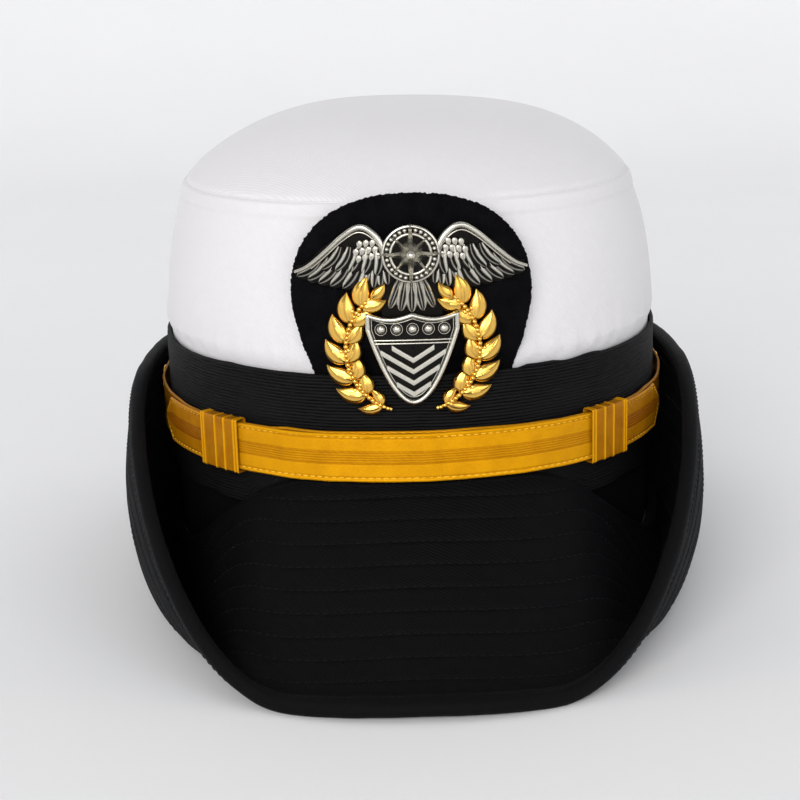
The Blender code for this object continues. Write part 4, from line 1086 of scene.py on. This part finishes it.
def build_tab():
    """Felt with a ragged cut edge and an uneven nap."""
    count = 700
    outline = tab_outline(count)
    middle = np.array((0.0, 110 * MM))
    rng = np.random.default_rng(7)
    ragged = 0.17 * MM * np.convolve(rng.normal(size=count + 2), (0.2, 0.6, 0.2), "valid")
    outline = outline + unit(outline - middle) * ragged[:, None]
    share = np.concatenate([np.linspace(1, 0.965, 6), np.linspace(0.95, 0.02, 40)])
    flat = middle + (outline - middle)[:, None] * share[None, :, None]
    x, z = flat[..., 0], flat[..., 1]
    nap = 0.05 * MM * rng.normal(size=x.shape) + 0.12 * MM * wobble(x, z, 9 * MM, 61)
    edge = np.sqrt(np.clip((1 - share) / 0.016, 0, 1))[None, :]
    front = front_face(x, z, tab_offset(z) + TAB_WALL * (0.5 + 0.5 * edge) + nap * edge)
    rear = front_face(x, z, tab_offset(z) + TAB_WALL * (0.5 - 0.5 * edge))[:, ::-1]
    pile = Pile().grid(np.concatenate([front, rear[:, :-1]], axis=1), closed_u=True)
    piece("badge_felt_tab", pile, FELT, "badge_mount")


# ------------------------------------------------------------------------------------------- badge
RELIEF = 10.4 * MM
SHIELD_OFFSET = 11.9 * MM
SHIELD_HALF_WIDTH, SHIELD_TOP, SHIELD_TIP = 13.9 * MM, 106.5 * MM, 78.5 * MM
SHIELD_CORNER, SHIELD_POWER = 101.5 * MM, 1.9
SHIELD_BORDER = 1.3 * MM
CHEVRON_SLOPE, CHEVRON_TOP = 0.62, 96.0 * MM
BOSS_HEIGHT = 124.0 * MM
BOSS_RADIUS = 8.6 * MM
STAR_RADIUS = 10.5 * MM
BRANCH_CENTRE, BRANCH_REACH = np.array((2.5, 95.0)), np.array((17.6, 19.0))

# Height and tone over the width of a feather, a tail plume and a leaf.
FEATHER = ([0.1, 0.85, 1.0, 0.80, 0.35, 0.30, 0.34, 0.40, 0.34, 0.26, 0.22, 0.2, 0.1],
           [0.9, 0.0, 0.0, 0.2, 1.0, 1.0, 0.95, 0.55, 0.95, 1.0, 1.0, 1.0, 1.0])
PLUME = ([0.1, 0.75, 1.0, 0.72, 0.38, 0.34, 0.50, 0.34, 0.38, 0.72, 1.0, 0.75, 0.1],
         [0.95, 0.1, 0.0, 0.4, 1.0, 1.0, 0.5, 1.0, 1.0, 0.4, 0.0, 0.1, 0.95])
LEAF = ([0.0, 0.42, 0.66, 0.80, 0.86, 0.90, 1.05, 0.90, 0.86, 0.80, 0.66, 0.42, 0.0],
        [0.9, 0.25, 0.05, 0.0, 0.05, 0.35, 0.0, 0.35, 0.05, 0.0, 0.05, 0.25, 0.9])


def blade(pile, path, widths, section, base, height, ahead=RELIEF):
    """A leaf or feather along a path in front view.

    path is (n, 2) in metres, widths the half widths along it, section its height and tone from
    edge to edge; base and height are metres ahead of the surface.
    """
    profile, tones = np.array(section)
    tangent = unit(np.gradient(path, axis=0))
    across = np.stack([tangent[:, 1], -tangent[:, 0]], -1)
    t = np.linspace(-1, 1, len(profile))
    flat = path[:, None] + across[:, None] * (widths[:, None] * t)[..., None]
    swell = np.sqrt(np.clip(widths / widths.max(), 0.05, 1.0))[:, None]
    rise = base + height * profile[None, :] * swell
    outline = np.concatenate([flat, flat[:, ::-4]], axis=1)
    low = np.full((len(path), outline.shape[1] - len(profile)), base - 0.25 * MM)
    rise = np.concatenate([rise, low], axis=1)
    tone = np.concatenate([tones, np.ones(low.shape[1])])
    pile.grid(front_face(outline[..., 0], outline[..., 1], ahead + rise), tone=tone)


def flat_cord(pile, path, ahead, radius, closed=False, tone=0.0, sides=8):
    """A raised cord along a path in front view."""
    sweep(pile, front_face(path[:, 0], path[:, 1], ahead), (0, -1, 0), radius, sides, closed, tone)


def bead(pile, x, z, radius, ahead, rise):
    """A low dome with a dark foot, laid on the curved front."""
    latitudes = np.linspace(0, math.pi / 2 * 0.97, 6)[:, None]
    px = x + radius * np.cos(latitudes) * np.cos(turns(14))
    pz = z + radius * np.cos(latitudes) * np.sin(turns(14))
    foot = np.clip(1.2 - 2.5 * latitudes, 0, 1) * 0.9
    pile.grid(front_face(px, pz, ahead + radius * rise * np.sin(latitudes)), tone=foot)


def stud(pile, centre, radius):
    """A round stud that faces the front."""
    latitudes = np.linspace(-0.3, math.pi / 2 * 0.97, 8)
    rows = [(radius * math.cos(a), radius * math.sin(a), min(max(0.9 - 2.0 * a, 0), 1)) for a in latitudes]
    turned(pile, rows, centre, (0, -1, 0), 14)


def curve(start, end, bow, count):
    """Path from start to end, given in millimetres, that bows to its left by a share of its length."""
    start, end = np.array(start) * MM, np.array(end) * MM
    t = np.linspace(0, 1, count)[:, None]
    span = end - start
    side = np.array((-span[1], span[0]))
    return start + span * t + side * bow * 4 * t * (1 - t)


def feather(pile, start, end, bow, half_width, base, height, section=FEATHER):
    t = np.linspace(0, 1, 16)
    rounded = np.sqrt(np.clip(1 - t ** 5, 0, 1)) + 0.04
    widths = half_width * MM * np.clip(np.minimum(0.55 + t * 1.6, rounded), 0.05, 1.0)
    blade(pile, curve(start, end, bow, 16), widths, section, base * MM, height * MM)


def leaf(pile, start, end, bow, half_width, base, height, ahead=RELIEF):
    t = np.linspace(0, 1, 14)
    widths = half_width * MM * np.clip(np.sin(math.pi * t ** 0.75) ** 0.8, 0.05, 1.0)
    blade(pile, curve(start, end, bow, 14), widths, LEAF, base * MM, height * MM, ahead)


def fan(pile, count, roots, tips, powers, bow, widths, base, step, height):
    """Overlapping feathers whose roots and tips go from a first place to a last one."""
    for k in range(count):
        part = k / (count - 1)
        start = mix(np.array(roots[0]), np.array(roots[1]), part)
        end = mix(np.array(tips[0]), np.array(tips[1]), part ** np.array(powers))
        feather(pile, start, end, bow, mix(*widths, part), base + step * (count - 1 - k), height)


def build_wings():
    """The wings: a dark bed, three fans of feathers, rows of small scales and a corded upper edge."""
    edge = smooth_path([(3.5, 117.0), (6.5, 123.0), (10.2, 129.4), (14.6, 132.0), (19.5, 129.6),
                        (25.2, 124.6), (30.6, 120.2), (34.5, 118.4)], 90) * MM
    bed = smooth_path([(4.0, 117.0), (9.5, 122.0), (16.0, 123.6), (22.5, 121.6), (28.0, 119.2),
                       (33.6, 118.0)], 40) * MM
    bed_widths = (2.0 + 4.4 * np.sin(math.pi * np.clip(np.linspace(0, 1, 40) * 0.95 + 0.1, 0, 1))) * MM
    bed_section = ([0.3] + [0.6] * 11 + [0.3], [1.0] * 13)
    edge_radius = mix(1.2, 0.5, np.linspace(0, 1, 90) ** 1.3) * MM
    pile = Pile()
    blade(pile, bed, bed_widths, bed_section, -0.35 * MM, 0.5 * MM)
    fan(pile, 6, ((12.5, 123.5), (26.5, 122.6)), ((15.6, 113.4), (34.0, 117.1)), (0.85, 1.5),
        -0.14, (2.2, 1.9), 0.05, 0.08, 0.7)
    fan(pile, 4, ((7.6, 121.0), (12.0, 122.5)), ((6.8, 114.8), (13.2, 113.2)), (1.0, 1.0),
        -0.06, (1.7, 1.7), 0.30, 0.08, 0.6)
    fan(pile, 5, ((9.5, 126.0), (20.5, 126.2)), ((10.2, 117.6), (26.4, 119.4)), (1.0, 1.0),
        -0.13, (2.0, 1.7), 0.75, 0.06, 0.6)
    for row, count in enumerate((4, 4, 3)):
        for k in range(count):
            x, z = 9.6 + 0.75 * row + 1.9 * k, 123.2 + 1.95 * row - 0.08 * k * k
            leaf(pile, (x - 0.25, z + 1.35), (x + 0.35, z - 1.15), 0.0, 0.98, 1.1 + 0.05 * row, 0.4)
    flat_cord(pile, edge, RELIEF + 0.85 * MM, edge_radius, sides=12)
    inner = edge[14:78] + np.array((0.25, -1.55)) * MM
    flat_cord(pile, inner, RELIEF + 0.75 * MM, 0.26 * MM)
    both_sides("badge_feathered_wing", pile, SILVER, "badge_wing")


# ------------------------------------------------------------------------------- boss and star
BOSS = ((0.2, -0.4, 1.0), (0.98, -0.4, 1.0), (1.0, 0.3, 0.2), (1.0, 0.75, 0.0), (0.97, 1.0, 0.0),
        (0.93, 1.0, 0.1), (0.91, 0.7, 0.9), (0.75, 0.65, 1.0), (0.73, 1.2, 0.1), (0.69, 1.35, 0.0),
        (0.65, 1.2, 0.2), (0.63, 0.85, 1.0), (0.45, 0.8, 1.0), (0.3, 1.0, 0.8), (0.02, 1.1, 0.6))
TAIL = ((-6.6, 107.6), (-3.4, 106.8), (0.0, 106.4), (3.4, 106.8), (6.6, 107.6))


def build_boss():
    """Round boss with a ring of beads, over a fan of five plumes."""
    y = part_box("badge_boss")[1].y
    pile = Pile()
    rows = [(BOSS_RADIUS * r, h * MM, tone) for r, h, tone in BOSS]
    turned(pile, rows, (0.0, y, BOSS_HEIGHT), (0, -1, 0), 96)
    for k in range(28):
        turn = TAU * k / 28
        x, z = 0.83 * BOSS_RADIUS * math.sin(turn), BOSS_HEIGHT + 0.83 * BOSS_RADIUS * math.cos(turn)
        stud(pile, (x, y - 0.65 * MM, z), 0.68 * MM)
    for k, (x, z) in enumerate(TAIL):
        widest = 1.9 if abs(x) < 5 else 1.6
        feather(pile, (x * 0.42, 117.0), (x, z), 0.0, widest, 0.35 - 0.12 * abs(k - 2), 0.75, PLUME)
    piece("badge_round_boss", pile, SILVER, "badge_boss")


def star_ray(turn, reach, top):
    """One ridged ray of the star, as sections from its middle out to its point."""
    rows = []
    for share in (0.0, 0.25, 0.5, 0.75, 0.985):
        width = math.tan(TAU / 16) * 0.30 * STAR_RADIUS * (1 - share)
        width = max(width, 0.03 * MM) * (1.0 if share else 0.4)
        along = mix(0.02 * STAR_RADIUS, reach, share)
        ridge = 1.5 * MM * (1 - 0.72 * share)
        section = []
        for side, high in ((-1, 0.0), (-0.5, 0.5), (0, 1.0), (0.5, 0.5), (1, 0.0), (0, -0.15)):
            x = math.sin(turn) * along + math.cos(turn) * side * width
            z = math.cos(turn) * along - math.sin(turn) * side * width
            section.append((x, top + 0.35 * MM - ridge * high, BOSS_HEIGHT + z))
        rows.append(section)
    return np.array(rows)


def build_star():
    """Eight-point compass star, its diagonal rays shorter."""
    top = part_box("badge_boss")[1].y - 2.1 * MM
    pile = Pile()
    for k in range(8):
        reach = STAR_RADIUS * (0.98 if k % 2 == 0 else 0.70)
        pile.grid(star_ray(TAU * k / 8, reach, top), tone=[0.35, 0.05, 0.0, 0.05, 0.35, 0.9])
    stud(pile, (0.0, top - 0.9 * MM, BOSS_HEIGHT), 1.5 * MM)
    piece("badge_compass_star", pile, SILVER, "badge_star")


# ------------------------------------------------------------------------------------------ shield
def shield_edge(count, shrink=0.0):
    """The shield's outline: dished top, then sides that curve in to the tip."""
    half = SHIELD_HALF_WIDTH - shrink
    x = np.linspace(-half, half, count)
    top = np.stack([x, SHIELD_TOP - shrink - 1.4 * MM * np.sin(math.pi * abs(x) / half)], -1)
    right_x = half * (1 - np.linspace(0, 1, count)[1:] ** 1.6)
    tip = SHIELD_TIP + shrink * 1.4
    right = np.stack([right_x, tip + (SHIELD_CORNER - tip) * (right_x / half) ** SHIELD_POWER], -1)
    drop = np.stack([np.full(8, half), np.linspace(SHIELD_TOP - shrink, SHIELD_CORNER, 10)[1:-1]], -1)
    left = right[::-1] * (-1, 1)
    return np.concatenate([top, drop, right, left[1:], drop[::-1] * (-1, 1)])


def shield_half(z):
    """Half the width inside the border at a height."""
    tip = SHIELD_TIP + 1.4 * SHIELD_BORDER
    share = np.clip((z - tip) / (SHIELD_CORNER - tip), 0.0, 1.0)
    return (SHIELD_HALF_WIDTH - SHIELD_BORDER) * share ** (1 / SHIELD_POWER)


def chevron_arm(pile, peak, side):
    """One arm of a chevron, out to the border or the chief. An arm too short to see is left out."""
    reach = np.arange(0.0, SHIELD_HALF_WIDTH, 0.1 * MM)
    z = peak + CHEVRON_SLOPE * reach
    clear = (reach < shield_half(z) - 0.6 * MM) & (z < CHEVRON_TOP)
    end = reach[np.argmin(clear)]
    if end < 1.2 * MM:
        return
    along = np.linspace(0, end, 24)
    rows = []
    for off, high in ((-0.86, 0.15), (-0.74, 0.62), (0.0, 0.66), (0.74, 0.62), (0.86, 0.15), (0.0, -0.2)):
        rows.append(front_face(side * along, peak + CHEVRON_SLOPE * along + off * MM,
                               SHIELD_OFFSET + 0.35 * MM + high * MM))
    pile.grid(np.stack(rows, axis=1), tone=[0.8, 0.05, 0.0, 0.05, 0.8, 1.0])


def build_shield():
    """Bordered shield: ringed studs in the chief, two bars and chevrons below."""
    outline = shield_edge(40)
    middle = np.array((0.0, 96.0 * MM))
    flat = middle + (outline - middle)[:, None] * np.linspace(1, 0.02, 14)[None, :, None]
    x, z = flat[..., 0], flat[..., 1]
    field = SHIELD_OFFSET + 0.35 * MM
    both = np.concatenate([front_face(x, z, field), front_face(x, z, field - 1.0 * MM)[:, ::-1]], axis=1)
    pile = Pile().grid(both, closed_u=True, tone=1.0)
    flat_cord(pile, shield_edge(60, 0.65 * MM), SHIELD_OFFSET + 0.75 * MM, 0.72 * MM, closed=True, sides=10)
    flat_cord(pile, shield_edge(60, 1.75 * MM), SHIELD_OFFSET + 0.45 * MM, 0.16 * MM, closed=True, tone=0.2)
    for z in (98.3 * MM, 97.3 * MM):
        path = np.stack([np.linspace(-shield_half(z), shield_half(z), 40), np.full(40, z)], -1)
        flat_cord(pile, path, SHIELD_OFFSET + 0.55 * MM, 0.3 * MM)
    for k in range(-2, 3):
        spot = np.array((4.7 * k, 101.6)) * MM
        bead(pile, *spot, 1.35 * MM, field, 0.75)
        ring = spot + 1.75 * MM * np.stack([np.cos(turns(24)), np.sin(turns(24))], -1)
        flat_cord(pile, ring, SHIELD_OFFSET + 0.4 * MM, 0.13 * MM, closed=True, tone=0.1, sides=6)
    for k in range(5):
        for side in (-1, 1):
            chevron_arm(pile, (95.6 - 3.45 * k) * MM, side)
    piece("badge_chevron_shield", pile, SILVER, "badge_shield")


# ---------------------------------------------------------------------------------- laurel branches
def on_branch(turn):
    """A point of the stem in front view, in millimetres."""
    return BRANCH_CENTRE + BRANCH_REACH * np.stack([np.cos(turn), np.sin(turn)], -1)


def branch_face(z):
    """How far ahead a branch lies: further back over the band than over the tab."""
    return mix(8.7 * MM, RELIEF, ramp(z, 79 * MM, 92 * MM))


def build_branches():
    """The branches: a beaded stem with pairs of leaves, and berries beside every other pair."""
    stem = on_branch(np.radians(np.linspace(-76, 56, 60))) * MM
    stem_radius = mix(0.75, 0.4, np.linspace(0, 1, 60)) * MM
    pile = Pile()
    flat_cord(pile, stem, branch_face(stem[:, 1]) + 0.75 * MM, stem_radius, sides=10)
    for k in range(7):
        turn = math.radians(-65 + 18.4 * k)
        root = on_branch(turn)
        outward = np.array((math.cos(turn), math.sin(turn)))
        forward = np.array((-outward[1], outward[0]))
        base = branch_face(root[1] * MM)
        shorter, half_width = (0.8, 2.0) if k == 0 else (1.0, 2.85)
        for lean, size, over in ((0.66, 9.0, 0.45), (-0.62, 7.4, 0.25)):
            aim = unit(forward + lean * outward)
            leaf(pile, root - aim * 0.4, root + aim * size * shorter, -0.10 * np.sign(lean), half_width,
                 over, 1.45, base)
        for shift in (1.2, -1.08) if k % 2 else ():
            x, z = (root + forward * 3.2 + outward * shift) * MM
            bead(pile, x, z, 0.85 * MM, base + 1.0 * MM, 0.9)
    for x, z in on_branch(np.radians(np.linspace(-72, 50, 30))) * MM:
        bead(pile, x, z, 0.72 * MM, branch_face(z) + 1.25 * MM, 0.9)
    tip = on_branch(math.radians(56))
    leaf(pile, tip, tip + (-4.4, 4.4), 0.1, 1.9, 0.6, 1.2)
    both_sides("badge_laurel_branch", pile, GILT, "badge_branch")


def finish_cad(finish, *nodes):
    """A better material on CAD pieces whose shape is already right."""
    for name in nodes:
        node = frame["nodes"][name]
        node.data.materials.clear()
        node.data.materials.append(finish)


# ------------------------------------------------------------------------------------------ studio
# Name, place, aim, size, power in watts, tint.
LAMPS = (
    ("key", (-1.47, -3.99, 2.12), (0.0, 0.0, 0.08), (2.75, 2.3), 120.0, (1.0, 0.985, 0.96)),
    ("fill", (2.73, -3.36, 1.38), (0.0, 0.0, 0.08), (2.3, 2.3), 28.0, (0.97, 0.985, 1.0)),
    ("top", (0.1, 0.5, 1.9), (0.0, 0.2, 0.1), (1.8, 1.4), 3.0, (1.0, 1.0, 1.0)),
    ("front", (0.0, -3.99, 0.65), (0.0, 0.0, 0.09), (3.4, 1.05), 32.0, (1.0, 1.0, 1.0)),
)
SKY, SKY_STRENGTH = (0.93, 0.95, 1.0), 0.34
CAMERA_PLACE = (-4.3 * MM, -552.3 * MM, 198.7 * MM)
CAMERA_LENS, CAMERA_PITCH, CAMERA_ROLL = 72.0, 14.36, -1.61


def build_floor():
    """Floor that sweeps up into a backdrop behind and at the sides, and stays low in front."""
    turn = np.radians(np.linspace(0, 90, 24))
    reach = np.concatenate([[0.01, 0.4, 0.8], 1.2 + 0.9 * np.sin(turn), [2.1]])
    height = np.concatenate([[0.0, 0.0, 0.0], 0.9 * (1 - np.cos(turn)), [3.0]])
    around = turns(96)[:, None]
    behind = ramp(off_front(around), 55, 115)
    reach = reach + 2.5 * np.maximum(reach - 1.2, 0.0) * (1 - behind)
    height = height * mix(0.2, 1.0, behind)
    bowl = stack(reach * np.sin(around), -reach * np.cos(around), height - 0.05 * MM)
    paper = Finish("paper", Roughness=0.9)
    paper.colour(paper.noise(paper.place(), 260.0, 2.0), (0.90, 0.90, 0.905), (0.94, 0.94, 0.945))
    Pile().grid(bowl, closed_u=True, closed_v=False).build("floor", paper.material)


def build_lights():
    for name, place, aim, size, power, tint in LAMPS:
        lamp = bpy.data.lights.new(name, "AREA")
        lamp.shape = "RECTANGLE"
        lamp.size, lamp.size_y = size
        lamp.energy = power
        lamp.color = tint
        made = bpy.data.objects.new(name, lamp)
        made.location = place
        made.visible_camera = False
        made.rotation_euler = (Vector(aim) - Vector(place)).to_track_quat("-Z", "Y").to_euler()
        bpy.context.scene.collection.objects.link(made)
    world = bpy.data.worlds.new("studio")
    world.use_nodes = True
    sky = world.node_tree.nodes["Background"]
    sky.inputs["Color"].default_value = rgb(*SKY)
    sky.inputs["Strength"].default_value = SKY_STRENGTH
    bpy.context.scene.world = world
    bpy.context.scene.view_settings.view_transform = "Standard"


def build_camera():
    camera = bpy.data.cameras.new("camera")
    camera.lens, camera.sensor_width = CAMERA_LENS, 36.0
    made = bpy.data.objects.new("camera", camera)
    look = Euler((math.radians(90 - CAMERA_PITCH), 0.0, 0.0)).to_matrix()
    roll = Euler((0.0, 0.0, math.radians(CAMERA_ROLL))).to_matrix()
    made.matrix_world = Matrix.Translation(CAMERA_PLACE) @ (look @ roll).to_4x4()
    bpy.context.scene.collection.objects.link(made)
    bpy.context.scene.camera = made


for build in (build_floor, build_lights, build_camera, build_side_panel, build_top_panel,
              build_cover_seams, build_frame, build_band, build_strips, build_brim, build_strap,
              build_keepers, build_buttons, build_tab, build_wings, build_boss, build_star,
              build_shield, build_branches):
    build()
finish_cad(BOARD, "badge_mount_stiffener")
finish_cad(OXIDISED, "badge_backplate")
finish_cad(STEEL, "badge_post", "badge_washer", "badge_nut", "button_clip_left", "button_clip_right")
